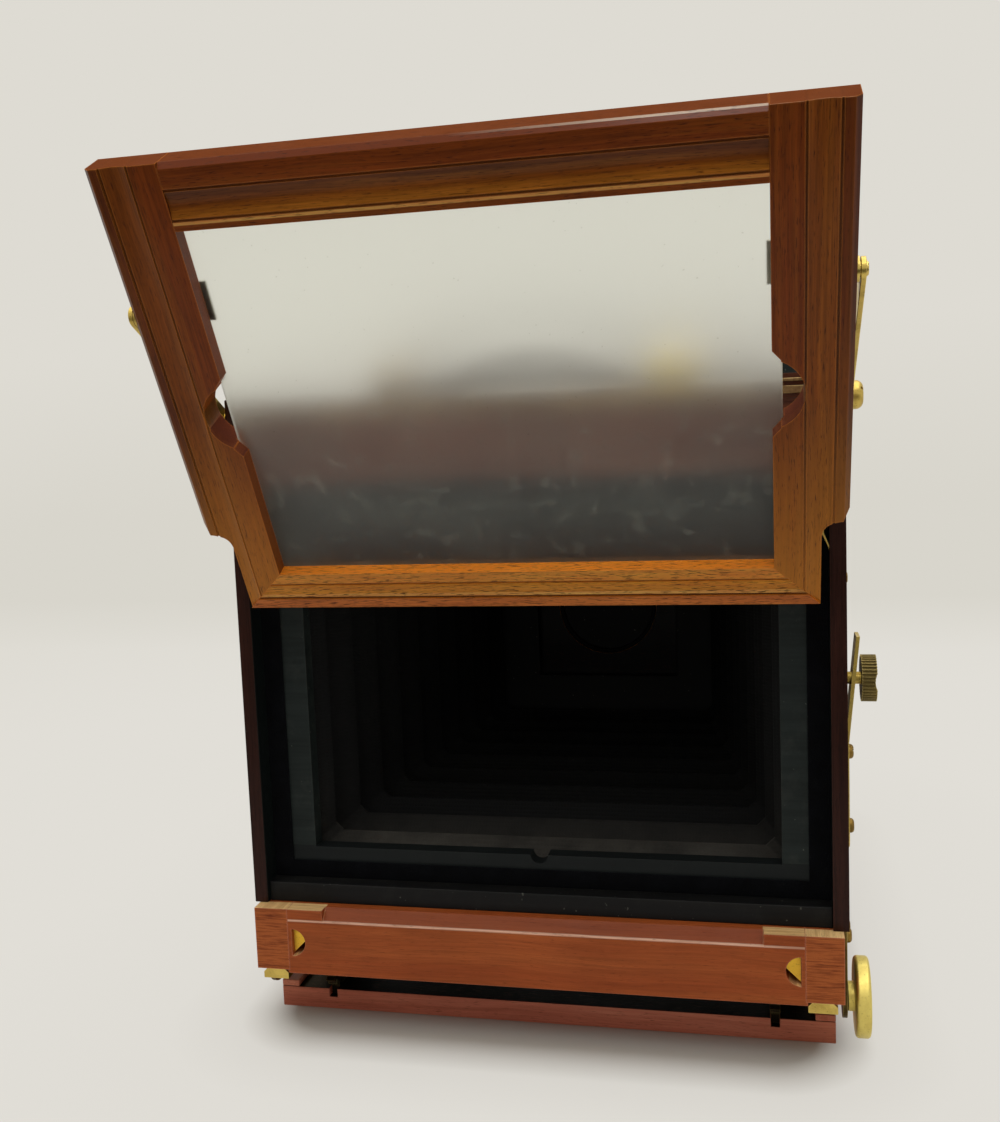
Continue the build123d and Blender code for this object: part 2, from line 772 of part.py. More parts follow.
def make_screen():
    whole = (-screen_t, 0)
    sight_top = bottom_rail_h + sight_h
    rebate_half = plate_w / 2 + glass_room
    rebate_y = (bottom_rail_h - glass_lap_z - glass_room, sight_top + glass_lap_z + glass_room)
    rebate = block((-rebate_half, rebate_half), rebate_y, (-screen_t, -glass_set))
    line_z = (-line_depth, 0)

    stile = Pos(0, 0, -screen_t) * extrude(stile_outline(), screen_t)
    outer = stile.edges().filter_by(Axis.Y).group_by(Axis.X)[-1].sort_by(Axis.Z)[-1]
    stile = chamfer(outer, edge_bevel)
    stile -= rebate
    stile -= notch_cut()
    for offset in stile_lines:
        line_x = (sight_half + offset - line_w / 2, sight_half + offset + line_w / 2)
        stile -= block(line_x, (bottom_rail_h - offset, screen_h), line_z)
    stile -= cove("Y", sight_half + stile_lines[0], sight_half + stile_lines[1], (0, screen_h))
    back = -glass_set - glass_t
    clip_x = (sight_half - clip_reach, sight_half - clip_reach + clip_w)
    screw_x = clip_x[1] - clip_screw_in
    clips = []
    screws = []
    for place in clip_places:
        middle = bottom_rail_h + place
        clip_y = (middle - clip_len / 2, middle + clip_len / 2)
        pocket_y = (clip_y[0] - glass_room, clip_y[1] + glass_room)
        stile -= block((sight_half, clip_x[1] + glass_room), pocket_y, (-screen_t, back))
        at = (screw_x, middle)
        shank = (back - clip_t, back + glass_t)
        stile -= rod("Z", clip_screw_r, shank, at)
        clips.append(block(clip_x, clip_y, (back - clip_t, back)) - rod("Z", clip_screw_r, shank, at))
        head = rod("Z", clip_head_r, (back - clip_t - clip_head_h, back - clip_t), at)
        screws.append(head + rod("Z", clip_screw_r, shank, at))
    right = screen_place * stile
    right -= rod("X", pivot_r, (screen_half - pivot_seat, screen_half), open_pivot)
    keep("screen_stile_right", right)
    keep("screen_stile_left", mirrored(right))
    keep_both("glass_clips", *[screen_place * one for one in clips])
    keep_both("clip_screws", *[screen_place * one for one in screws])

    top = block((-sight_half, sight_half), (sight_top, screen_h), whole)
    upper = top.edges().filter_by(Axis.X).group_by(Axis.Y)[-1].sort_by(Axis.Z)[-1]
    top = chamfer(upper, edge_bevel) - rebate
    for offset in (bead_line, top_line):
        line_y = (sight_top + offset - line_w / 2, sight_top + offset + line_w / 2)
        top -= block((-sight_half, sight_half), line_y, line_z)
    top -= cove("X", sight_top + bead_line, sight_top + top_line, (-sight_half, sight_half))
    keep("screen_top_rail", screen_place * top)

    corners = [(-foot_half, 0), (foot_half, 0), (sight_half, bottom_rail_h), (-sight_half, bottom_rail_h)]
    bottom = Pos(0, 0, -screen_t) * extrude(make_face(Polyline(*corners, close=True)), screen_t)
    bottom -= rebate
    for offset in bottom_lines:
        line_y = (bottom_rail_h - offset - line_w / 2, bottom_rail_h - offset + line_w / 2)
        bottom -= block((-foot_half, foot_half), line_y, line_z)
    cove_low = bottom_rail_h - bottom_lines[1]
    cove_high = bottom_rail_h - bottom_lines[0]
    bottom -= cove("X", cove_low, cove_high, (-foot_half, foot_half))
    keep("screen_bottom_rail", screen_place * bottom)

    glass_y = (bottom_rail_h - glass_lap_z, bottom_rail_h - glass_lap_z + plate_h)
    glass = block((-plate_w / 2, plate_w / 2), glass_y, (back, -glass_set))
    keep("ground_glass", screen_place * glass)


# Front standard with the rising panel
def make_front():
    depth = (post_rear, front_y)
    keep("front_foot", block((-post_half, post_half), depth, (board_t, post_foot)))
    clamp_at = (post_half - post_w / 2, post_top - clamp_drop)
    clamp_hole = rod("Y", clamp_shank_r + shaft_play, (front_y - clamp_seat, front_y + guide_t), clamp_at)
    screw_seat = post_half + gusset_t
    post = block((post_in, post_half), depth, (post_foot, post_top))
    gusset = plate_yz(
        [
            (front_y, board_t),
            (post_rear - gusset_run, board_t),
            (post_rear, board_t + gusset_h),
            (front_y, board_t + gusset_h),
        ],
        (post_half, screw_seat),
    )
    screws = []
    for place in gusset_screws_at:
        at = (front_y - post_t / 2, board_t + place)
        hole = bore("X", screw_seat, at)
        gusset -= hole
        post -= hole
        screws.append(screw("X", screw_seat, at))
    keep("front_posts", post - clamp_hole, mirrored(post))
    keep_both("front_gussets", gusset)
    keep_both("gusset_screws", *screws)
    top_bar = block((-post_in, post_in), depth, (post_top - top_bar_h, post_top))
    keep("front_top_bar", top_bar + block((-base_half, base_half), depth, (post_top, post_top + cap_h)))

    rim = bellows_front_half + pleat_depth + front_frame_rim
    frame_y = (frame_rear, frame_rear + front_frame_t)
    frame = block((-post_in, post_in), frame_y, (lens_z - rim, lens_z + rim))
    frame -= block((-front_open, front_open), frame_y, (lens_z - front_open, lens_z + front_open))
    keep("bellows_frame", frame)

    guide_low = lens_z - panel_half_h - panel_down - guide_spare
    guide = block((post_in - guide_lap, post_half), (front_y, front_y + guide_t), (guide_low, post_top))
    keep("panel_guides", guide - clamp_hole, mirrored(guide))

    head_y = (front_y + guide_t + slide_gap, front_y + guide_t + slide_gap + clamp_t)
    head = fluted(rod("Y", clamp_r, head_y, clamp_at), "Y", clamp_r, clamp_flutes, head_y, clamp_at)
    shank = rod("Y", clamp_shank_r, (front_y - clamp_seat, head_y[0]), clamp_at)
    keep("clamp_screw", head + shank)


# Lens on its rising panel
def lens_glass(rear, thickness, radius):
    bulge = thickness - glass_edge
    ball_r = (radius**2 + bulge**2) / (2 * bulge)
    ball = Pos(0, rear + thickness - ball_r, lens_z) * Sphere(ball_r)
    return rod("Y", radius, (rear, rear + thickness), (0, lens_z)) & ball


def make_lens():
    centre = (0, lens_z)
    panel_half = post_in - panel_gap
    panel_z = (lens_z - panel_half_h, lens_z + panel_half_h)
    panel = block((-panel_half, panel_half), (panel_rear, panel_front), panel_z)
    panel -= rod("Y", barrel_r, (panel_rear, panel_front), centre)
    seat = panel_front + flange_t
    flange = tube("Y", flange_r, barrel_r, (panel_front, seat), centre)
    screws = []
    screw_ring = (barrel_r + flange_r) / 2
    for spot in PolarLocations(screw_ring, flange_screw_count, 180 / flange_screw_count):
        at = (spot.position.X, lens_z + spot.position.Y)
        hole = bore("Y", seat, at, flange_t + screw_len)
        flange -= hole
        panel -= hole
        screws.append(screw("Y", seat, at, flange_t + screw_len))
    keep("lens_panel", panel)
    keep("lens_flange", flange)
    keep("flange_screws", *screws)

    inner_r = barrel_r - barrel_wall
    barrel = tube("Y", barrel_r, inner_r, (panel_rear, barrel_end), centre)
    ring_y = (seat + ring_at, seat + ring_at + ring_w)
    for ridge in (ring_y[0] - slide_gap - ridge_w, ring_y[1] + slide_gap):
        barrel += tube("Y", barrel_r + ridge_h, inner_r, (ridge, ridge + ridge_w), centre)
    keep("lens_barrel", barrel)
    ring = tube("Y", ring_r, barrel_r + ring_play, ring_y, centre)
    keep("iris_ring", fluted(ring, "Y", ring_r + flute_r / 2, ring_flutes, ring_y, centre))
    iris_y = (ring_y[0] + ring_w / 2, ring_y[0] + ring_w / 2 + iris_t)
    keep("iris_leaves", tube("Y", inner_r, iris_open_r, iris_y, centre))
    rear_glass = lens_glass(panel_rear + glass_edge, rear_glass_t, inner_r)
    front_glass = lens_glass(barrel_end - front_glass_t, front_glass_t, inner_r)
    keep("lens_glasses", rear_glass, front_glass)
    hood_rear = barrel_end - hood_lap
    hood = tube("Y", hood_r, barrel_r, (hood_rear, barrel_end), centre)
    hood += tube("Y", hood_r, hood_r - hood_wall, (barrel_end, hood_end), centre)
    keep("lens_hood", hood)
    cap_in = hood_r + cap_gap
    cap_floor = hood_end + cap_gap
    cap = rod("Y", cap_in + cap_wall, (hood_end - cap_depth, cap_floor + cap_wall), centre)
    cap = fillet(cap.edges().filter_by(GeomType.CIRCLE).sort_by(Axis.Y)[-1], cap_wall)
    keep("lens_cap", cap - rod("Y", cap_in, (hood_end - cap_depth, cap_floor), centre))


# Pleated bellows: one ruled skin through outer and inner folds in turn
def fold_face(y, half_w, half_h):
    plane = Plane(origin=(0, y, lens_z), x_dir=(1, 0, 0), z_dir=(0, 1, 0))
    points = []
    for x, z, first in ((1, 1, 0), (-1, 1, 1), (-1, -1, 0), (1, -1, 1)):
        cut = [(x * half_w, z * (half_h - bellows_corner)), (x * (half_w - bellows_corner), z * half_h)]
        points += cut[::-1] if first else cut
    return plane * make_face(Polyline(*points, close=True))


def bellows_skin(inset):
    stations = 2 * pleats + 1
    rear_h = (open_high - open_low) / 2
    faces = []
    for number in range(stations):
        along = number / (stations - 1)
        swell = pleat_depth if number % 2 == 0 else 0
        half_w = open_half + (bellows_front_half - open_half) * along + swell - inset
        half_h = rear_h + (bellows_front_half - rear_h) * along + swell - inset
        faces.append(fold_face(mask_front + (frame_rear - mask_front) * along, half_w, half_h))
    return loft(faces, ruled=True)


def make_bellows():
    keep("bellows", bellows_skin(0) - bellows_skin(bellows_t))


def write_parts():
    os.makedirs("parts", exist_ok=True)
    for name, shapes in nodes.items():
        solids = [solid for shape in shapes for solid in shape.solids()]
        whole = solids[0] if len(solids) == 1 else Compound(children=solids)
        export_step(whole, f"parts/{name}.step")


make_base()
make_racks()
make_pinion()
make_carriage()
make_body()
make_top()
make_arms()
make_screen()
make_front()
make_lens()
make_bellows()
write_parts()
print("nodes", len(nodes), "lean", round(degrees(lean), 2), "arm", round(arm_len, 2))
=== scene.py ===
import json
from math import cos, pi, radians, sin

import bmesh
import bpy
from mathutils import Matrix, Vector


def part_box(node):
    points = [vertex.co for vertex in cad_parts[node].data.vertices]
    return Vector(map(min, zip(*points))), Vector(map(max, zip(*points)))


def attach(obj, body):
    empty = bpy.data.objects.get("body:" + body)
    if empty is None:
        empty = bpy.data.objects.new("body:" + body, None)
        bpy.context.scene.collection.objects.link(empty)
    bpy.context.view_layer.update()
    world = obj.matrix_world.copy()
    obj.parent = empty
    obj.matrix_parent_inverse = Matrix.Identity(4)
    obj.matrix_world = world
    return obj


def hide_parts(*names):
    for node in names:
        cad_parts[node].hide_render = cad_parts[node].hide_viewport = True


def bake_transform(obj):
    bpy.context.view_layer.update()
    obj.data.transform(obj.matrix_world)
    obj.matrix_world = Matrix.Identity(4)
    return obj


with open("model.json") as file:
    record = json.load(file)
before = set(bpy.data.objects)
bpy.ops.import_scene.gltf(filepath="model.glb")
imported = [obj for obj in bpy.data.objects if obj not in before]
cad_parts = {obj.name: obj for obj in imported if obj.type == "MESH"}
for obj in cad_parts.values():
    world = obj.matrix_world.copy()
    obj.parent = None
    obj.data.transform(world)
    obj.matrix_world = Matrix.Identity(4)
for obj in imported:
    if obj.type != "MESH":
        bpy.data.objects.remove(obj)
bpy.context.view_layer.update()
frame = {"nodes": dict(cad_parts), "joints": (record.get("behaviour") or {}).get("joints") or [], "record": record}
mm = 0.001
bodyOf = {node: body for body, group in frame["record"]["behaviour"]["bodies"].items() for node in group}
print("frame loaded, nodes:", len(frame["nodes"]))

# The screen leans back from the body; up runs along its stiles, face looks at the operator
screenLean = radians(29.39)
screenUp = Vector((0, -sin(screenLean), cos(screenLean)))
screenFace = Vector((0, -cos(screenLean), -sin(screenLean)))
alongX, alongY, alongZ = Vector((1, 0, 0)), Vector((0, 1, 0)), Vector((0, 0, 1))
facing = 0.6  # a surface looks one way where its normal goes this far along it


# Shader helpers
def paint(red, green, blue):
    # screen colour, 0 to 255, to linear light
    parts = [value / 255 for value in (red, green, blue)]
    parts = [v / 12.92 if v <= 0.04045 else ((v + 0.055) / 1.055) ** 2.4 for v in parts]
    return (*parts, 1.0)


bench = {}  # holds the material or world whose nodes are being made


def startNodes(owner):
    owner.use_nodes = True
    owner.node_tree.nodes.clear()
    bench["owner"] = owner


def newMaterial(name):
    startNodes(bpy.data.materials.new(name))


def add(kind, inputs=None, **settings):
    # a node among the inputs stands for its first output
    tree = bench["owner"].node_tree
    made = tree.nodes.new("ShaderNode" + kind)
    for key, value in settings.items():
        setattr(made, key, value)
    for key, value in (inputs or {}).items():
        if isinstance(value, bpy.types.Node):
            value = value.outputs[0]
        if isinstance(value, bpy.types.NodeSocket):
            tree.links.new(value, made.inputs[key])
        else:
            made.inputs[key].default_value = value
    return made


def calc(operation, first, second=0.5, clamp=False):
    return add("Math", {0: first, 1: second}, operation=operation, use_clamp=clamp)


def times(product, *others):
    for other in others:
        product = calc("MULTIPLY", product, other)
    return product


def plus(first, second, clamp=False):
    return calc("ADD", first, second, clamp)


def minus(first, second):
    return calc("SUBTRACT", first, second)


def above(value, limit):
    return calc("GREATER_THAN", value, limit)


def below(value, limit):
    return calc("LESS_THAN", value, limit)


def absolute(value):
    return calc("ABSOLUTE", value)


def between(value, start, end):
    # 0 at start to 1 at end, and no further
    return calc("DIVIDE", minus(value, start), end - start, clamp=True)


def ramp(value, *stops):
    made = add("ValToRGB", {"Fac": value})
    dots = made.color_ramp.elements
    while len(dots) < len(stops):
        dots.new(0.5)
    for dot, (position, colour) in zip(dots, stops):
        dot.position = position
        dot.color = colour if hasattr(colour, "__len__") else (colour, colour, colour, 1)
    return made


def rise(value, start, end):
    return ramp(value, (start, 0.0), (end, 1.0))


def mix(share, first, second, how="MIX"):
    return add("Mix", {0: share, 6: first, 7: second}, data_type="RGBA", blend_type=how).outputs[2]


def tint(tone, cover, *masks):
    # cover is a colour and how strongly it hides the tone under it
    colour, strength = cover
    return mix(times(*masks, strength), tone, colour)


def spotOf():
    return add("TexCoord").outputs["Object"]


def normalOf():
    return add("TexCoord").outputs["Normal"]


def split(vector):
    return add("SeparateXYZ", {0: vector}).outputs


def lengthAlong(vector, way):
    return add("VectorMath", {0: vector, 1: way}, operation="DOT_PRODUCT").outputs["Value"]


def place(run=alongX, shift=(0, 0, 0)):
    # object position, turned so that its X goes along run
    turn = alongX.rotation_difference(run).to_euler()
    inputs = {"Vector": spotOf(), "Location": shift, "Rotation": turn}
    return add("Mapping", inputs, vector_type="TEXTURE")


def grainy(where, scale, detail, rough, warp=0.0, stretch=None):
    if stretch:
        where = add("Mapping", {"Vector": where, "Scale": stretch}, vector_type="POINT")
    inputs = {"Vector": where, "Scale": scale, "Detail": detail, "Roughness": rough, "Distortion": warp}
    return add("TexNoise", inputs).outputs["Fac"]


def patches(where, start, end, **noise):
    return rise(grainy(where, **noise), start, end)


edgeWearAndSheen = {"samples": 4, "start": 0.02, "end": 0.22}


def rubbedAndHighlightedEdges(tone, look):
    # the edge mask is 0 on a flat and 1 on an arris; the arris colour stands for wear and for a painted highlight
    soft = add("Bevel", {"Radius": look["edge"]}, samples=edgeWearAndSheen["samples"])
    same = lengthAlong(soft, add("NewGeometry").outputs["Normal"])
    worn = rise(minus(1.0, same), edgeWearAndSheen["start"], edgeWearAndSheen["end"])
    return tint(tone, (look["rubbed"], look["rub"]), worn)


def finishShader(surface, output="OutputMaterial"):
    add(output, {"Surface": surface})
    return bench["owner"]


def finishSurface(tone, rough, relief, inputs):
    # relief is the bump's height, strength and distance
    bump = add("Bump", dict(zip(("Height", "Strength", "Distance"), relief)))
    inputs = {"Base Color": tone, "Roughness": rough, "Normal": bump, **inputs}
    return finishShader(add("BsdfPrincipled", inputs))


# Polished wood: figure, fibres and dark pores run along the grain
woodGrain = {
    "figure": dict(detail=4, rough=0.6, stretch=(0.035, 1, 1)),
    "fibre": dict(scale=1300, detail=3, rough=0.75, stretch=(0.022, 1, 1)),
    "pore": dict(scale=4200, detail=2, rough=0.5, stretch=(0.07, 1, 1)),
    "cloud": dict(scale=22, detail=2, rough=0.5),
    "haze": dict(scale=60, detail=3, rough=0.6),
    "wave": 14.0, "poreSpan": 0.09, "cloudShare": 0.4, "hazeSpan": 0.16, "fibreRelief": 0.35,
    "relief": 0.15 * mm, "coatRough": 0.16, "coatIor": 1.45,
}


def woodMaterial(name, look, run, strips=None, worn=None, varnish=None):
    newMaterial(name)
    where = place(run, look.get("shift", (0, 0, 0)))
    inputs = {"Vector": where, "Scale": woodGrain["wave"], "Detail": 1.0}
    wave = add("TexNoise", inputs).outputs["Color"]
    wave = add("VectorMath", {0: wave, 1: (0.5, 0.5, 0.5)}, operation="SUBTRACT")
    wave = add("VectorMath", {0: wave, "Scale": look["wave"]}, operation="SCALE")
    where = add("VectorMath", {0: where, 1: wave}, operation="ADD")
    figure = grainy(where, look["figure"], **woodGrain["figure"])
    fibre = grainy(where, **woodGrain["fibre"])
    cloud = grainy(where, **woodGrain["cloud"])
    pore = grainy(where, **woodGrain["pore"])
    pore = rise(pore, look["poreFrom"], look["poreFrom"] + woodGrain["poreSpan"])
    tone = ramp(figure, (0.30, look["dark"]), (0.50, look["middle"]), (0.70, look["light"]))
    if strips:
        tone = strips(tone)
    streaks = ramp(fibre, (0.3, 0.24), (0.7, 0.78))
    tone = mix(look["fibre"], tone, streaks, "OVERLAY")
    shades = ramp(cloud, (0.3, 0.36), (0.7, 0.64))
    tone = mix(woodGrain["cloudShare"], tone, shades, "OVERLAY")
    # a hook may add the piece's own marks, and painted light and shade
    if worn:
        tone = worn(tone, fibre)
    tone = tint(tone, (look["pore"], look["poreDepth"]), pore)
    tone = rubbedAndHighlightedEdges(tone, look)
    rough = grainy(where, **woodGrain["haze"])
    rough = ramp(rough, (0.3, look["gloss"]), (0.75, look["gloss"] + woodGrain["hazeSpan"]))
    coat = look["coat"]
    if varnish:
        coat, dull = varnish()
        rough = plus(rough, dull)
    height = minus(times(fibre, woodGrain["fibreRelief"]), pore)
    return finishSurface(tone, rough, (height, look["bump"], woodGrain["relief"]), {
        "Specular IOR Level": look["shine"], "Coat Weight": coat, "Coat Roughness": woodGrain["coatRough"],
        "Coat IOR": woodGrain["coatIor"],
    })


# Aged lacquered brass: brown patina in the flats, brighter arrises as wear and painted highlight, fine scratches
brassGrain = {
    "stain": dict(detail=5, rough=0.65, warp=0.4),
    "speck": dict(scale=1600, detail=2, rough=0.6, start=0.62, end=0.72),
    "scratch": dict(scale=1, detail=2, rough=0.7, stretch=(60, 900, 2600)),
    "rings": dict(scale=2400, detail=3, rough=0.7),
    "stainSpan": 0.22, "speckShare": 0.5, "stainRough": 0.2, "scratchRough": 0.14, "relief": 0.06 * mm,
    "inward": -2 * mm, "rearward": -0.8,
}


def brassMaterial(name, look, turned=None, blackInside=False):
    newMaterial(name)
    where = place()
    stain = grainy(where, look["stainScale"], **brassGrain["stain"])
    stain = rise(stain, look["stainFrom"], look["stainFrom"] + brassGrain["stainSpan"])
    speck = patches(where, **brassGrain["speck"])
    scratch = grainy(where, **brassGrain["scratch"])
    if turned:
        # rings left by the lathe round an axis, given as its number and a point on it
        axis, centre = turned
        sides = [side for side in range(3) if side != axis]
        part = split(where)
        offsets = [minus(part[side], centre[side]) for side in sides]
        radius = calc("SQRT", plus(*[times(one, one) for one in offsets]))
        ringed = add("CombineXYZ", {"X": radius})
        scratch = grainy(ringed, **brassGrain["rings"])
    tone = mix(times(stain, look["stain"]), look["bright"], look["dull"])
    tone = tint(tone, (look["spot"], brassGrain["speckShare"]), speck)
    tone = rubbedAndHighlightedEdges(tone, look)
    if blackInside:
        # a lens tube is blackened on its inside and its rear end
        normal = split(normalOf())
        inward = plus(*[times(one, normal[side]) for one, side in zip(offsets, sides)])
        inside, rear = below(inward, brassGrain["inward"]), below(normal[axis], brassGrain["rearward"])
        tone = mix(calc("MAXIMUM", inside, rear), tone, look["blacked"])
    rough = plus(times(stain, brassGrain["stainRough"]), look["rough"])
    rough = plus(rough, times(scratch, brassGrain["scratchRough"]))
    relief = (scratch, look["bump"], brassGrain["relief"])
    return finishSurface(tone, rough, relief, {"Metallic": 1.0})


# Dull stain on the wood inside the camera, dusty and brushed on along one direction
stainGrain = {
    "brush": dict(scale=420, detail=3, rough=0.6, stretch=(0.04, 1, 1)),
    "dust": dict(scale=90, detail=6, rough=0.7, start=0.52, end=0.78),
    "fleck": dict(scale=700, detail=1, rough=0.5, start=0.74, end=0.78),
    "fleckShare": 0.5, "deepShare": 0.7, "bump": 0.25, "relief": 0.2 * mm, "shine": 0.2,
}


def stainMaterial(name, look, run, deepBelow=None):
    newMaterial(name)
    where = place(run)
    brush = grainy(where, **stainGrain["brush"])
    tone = ramp(brush, (0.3, look["dark"]), (0.7, look["light"]))
    tone = tint(tone, (look["rubbed"], look["dust"]), patches(where, **stainGrain["dust"]))
    fleck = patches(where, **stainGrain["fleck"])
    tone = tint(tone, (look["rubbed"], stainGrain["fleckShare"]), fleck)
    tone = rubbedAndHighlightedEdges(tone, look)
    if deepBelow:
        lower = below(split(spotOf())[2], deepBelow)
        tone = tint(tone, (look["deep"], stainGrain["deepShare"]), lower)
    relief = (brush, stainGrain["bump"], stainGrain["relief"])
    return finishSurface(tone, look["rough"], relief, {"Specular IOR Level": stainGrain["shine"]})


def velvetMaterial(name, look):
    newMaterial(name)
    where = place()
    pile = grainy(where, **look["pile"])
    tone = ramp(grainy(where, **look["nap"]), (0.35, look["dark"]), (0.7, look["light"]))
    return finishSurface(tone, 1.0, (pile, look["bump"], look["relief"]), {
        "Specular IOR Level": look["shine"], "Sheen Weight": look["sheen"],
        "Sheen Roughness": look["sheenRough"], "Sheen Tint": look["sheenTint"],
    })


# Leather with a pebbled grain, rubbed lighter on its edges
leatherGrain = {
    "cloud": dict(detail=5, rough=0.65), "creaseTo": 0.18, "creaseShare": 0.45, "roughSpan": 0.18,
    "relief": 0.18 * mm, "shine": 0.4,
}


def leatherMaterial(name, look):
    newMaterial(name)
    where = place()
    cell = add("TexVoronoi", {"Vector": where, "Scale": look["cells"], "Randomness": 1.0},
               feature="DISTANCE_TO_EDGE").outputs["Distance"]
    pebble = rise(cell, 0.0, leatherGrain["creaseTo"])
    cloud = grainy(where, look["cloud"], **leatherGrain["cloud"])
    tone = ramp(cloud, (0.32, look["dark"]), (0.7, look["light"]))
    tone = tint(tone, (look["crease"], leatherGrain["creaseShare"]), minus(1.0, pebble))
    tone = rubbedAndHighlightedEdges(tone, look)
    rough = ramp(cloud, (0.3, look["rough"]), (0.8, look["rough"] + leatherGrain["roughSpan"]))
    relief = (pebble, look["bump"], leatherGrain["relief"])
    return finishSurface(tone, rough, relief, {"Specular IOR Level": leatherGrain["shine"]})


# Black lining cloth with a fine weave
def clothMaterial(name, look):
    newMaterial(name)
    where = place()
    threads = []
    for direction in ("X", "Y", "Z"):
        inputs = {"Vector": where, "Scale": look["threads"], "Distortion": look["uneven"]}
        thread = add("TexWave", inputs, wave_type="BANDS", bands_direction=direction)
        threads.append(thread.outputs["Fac"])
    weave = times(plus(threads[0], threads[1]), threads[2])
    tone = ramp(grainy(where, **look["nap"]), (0.3, look["dark"]), (0.75, look["light"]))
    # the lining is paler, in patches, on what faces up near the open back
    up = calc("MAXIMUM", split(normalOf())[2], 0.0)
    near = between(split(spotOf())[1], look["dustFrom"], look["dustTo"])
    thick = ramp(grainy(where, **look["dustGrain"]), (0.3, 0.35), (0.7, 1.0))
    tone = mix(times(near, up, thick), tone, look["dust"])
    relief = (weave, look["bump"], look["relief"])
    return finishSurface(tone, look["rough"], relief, {"Specular IOR Level": look["shine"]})


# Glass ground on one face: light passes, but scattered, and dust lies on it
def groundGlassMaterial(name, look):
    newMaterial(name)
    where = place()
    blotch = patches(where, **look["blotchGrain"])
    dust = plus(patches(where, **look["dustGrain"]), times(blotch, look["blotch"]))
    height = lengthAlong(spotOf(), screenUp)
    dust = times(dust, between(height, look["dustTo"], look["dustFrom"]), look["dust"])
    fleck = times(patches(where, **look["fleckGrain"]), look["fleck"])
    film = plus(dust, fleck, clamp=True)
    grit = grainy(where, **look["grit"])
    bump = add("Bump", {"Height": grit, "Strength": look["bump"], "Distance": look["relief"]})
    glass = add("BsdfPrincipled", {
        "Base Color": look["tint"], "Roughness": look["rough"], "Normal": bump,
        "Transmission Weight": 1.0, "IOR": look["ior"], "Specular IOR Level": look["shine"],
    })
    haze = add("BsdfDiffuse", {"Color": look["grey"], "Roughness": 1.0})
    both = add("MixShader", {0: film, 1: glass, 2: haze})
    # lamplight goes through to what stands behind the glass
    clear = add("BsdfTransparent", {"Color": look["tint"]})
    passing = times(add("LightPath").outputs["Is Shadow Ray"], look["passes"])
    return finishShader(add("MixShader", {0: passing, 1: both, 2: clear}))


def lensGlassMaterial(name, look):
    newMaterial(name)
    rough = ramp(grainy(place(), **look["smear"]), (0.4, look["clean"]), (0.8, look["smeared"]))
    return finishShader(add("BsdfPrincipled", {
        "Base Color": look["tint"], "Roughness": rough, "Transmission Weight": 1.0, "IOR": look["ior"],
        "Specular IOR Level": look["shine"],
    }))


# Mesh helpers
meshing = {"merge": 0.002 * mm, "flat": 0.8, "sharp": 35, "segments": 2}


def newObject(name, data):
    piece = bpy.data.objects.new(name, data)
    bpy.context.scene.collection.objects.link(piece)
    return piece


def meshFrom(name, points, faces):
    mesh = bpy.data.meshes.new(name)
    mesh.from_pydata([tuple(point) for point in points], [], faces)
    mesh.update()
    return mesh


def newPiece(name, mesh, material, sharp=meshing["sharp"]):
    mesh.materials.append(material)
    mesh.shade_smooth()
    mesh.set_sharp_from_angle(angle=radians(sharp))
    return newObject(name, mesh)


def soften(piece, width):
    made = piece.modifiers.new("arris", "BEVEL")
    made.width = width * mm
    made.segments = meshing["segments"]
    made.limit_method = "ANGLE"
    made.angle_limit = radians(meshing["sharp"])
    made.harden_normals = True


def mergedMesh(node):
    bm = bmesh.new()
    bm.from_mesh(frame["nodes"][node].data)
    bmesh.ops.remove_doubles(bm, verts=bm.verts, dist=meshing["merge"])
    return bm


def cleanMesh(node):
    # the node's faces joined up again, with flat triangles made whole
    bm = mergedMesh(node)
    bmesh.ops.dissolve_limit(bm, angle_limit=radians(meshing["flat"]), verts=bm.verts, edges=bm.edges)
    bm.verts.index_update()
    points = [vert.co.copy() for vert in bm.verts]
    faces = [[vert.index for vert in face.verts] for face in bm.faces]
    bm.free()
    return meshFrom(node + "Mesh", points, faces)


def settle(piece, body, slot, *nodes):
    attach(piece, body)
    if nodes:
        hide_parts(*nodes)


def dress(material, slot, *nodes, arris):
    # CAD pieces with their arrises eased, by a width in mm
    for node in nodes:
        piece = newPiece(node + "Dressed", cleanMesh(node), material)
        soften(piece, arris)
        settle(piece, bodyOf[node], slot, node)
    return piece


def islands(node):
    # box of each separate solid in a node, in a steady order
    bm = mergedMesh(node)
    left = set(bm.verts)
    boxes = []
    while left:
        group, edge = set(), [left.pop()]
        while edge:
            vert = edge.pop()
            group.add(vert)
            for link in vert.link_edges:
                other = link.other_vert(vert)
                if other in left:
                    left.remove(other)
                    edge.append(other)
        corners = [Vector([limit(vert.co[i] for vert in group) for i in range(3)]) for limit in (min, max)]
        boxes.append(corners)
    bm.free()
    return sorted(boxes, key=lambda box: tuple(round(value, 5) for value in (*box[0], *box[1])))


def lathe(profile, segments):
    # profile of (height, radius) turned about Z; ends on the axis are closed
    points, faces, rings = [], [], []
    for height, radius in profile:
        count = segments if radius else 1
        rings.append(list(range(len(points), len(points) + count)))
        for step in range(count):
            turn = 2 * pi * step / segments
            points.append(Vector((radius * cos(turn), radius * sin(turn), height)))
    for low, high in zip(rings, rings[1:]):
        for step in range(segments):
            walk = ((low, step), (low, step + 1), (high, step + 1), (high, step))
            faces.append(list(dict.fromkeys(ring[at % len(ring)] for ring, at in walk)))
    return points, faces


def cutAway(mesh, cutter):
    # mesh less cutter
    base, tool = newObject("cutBase", mesh), newObject("cutTool", cutter)
    made = base.modifiers.new("cut", "BOOLEAN")
    made.object = tool
    made.operation = "DIFFERENCE"
    made.solver = "EXACT"
    graph = bpy.context.evaluated_depsgraph_get()
    result = bpy.data.meshes.new_from_object(base.evaluated_get(graph))
    bpy.data.objects.remove(base)
    bpy.data.objects.remove(tool)
    return result


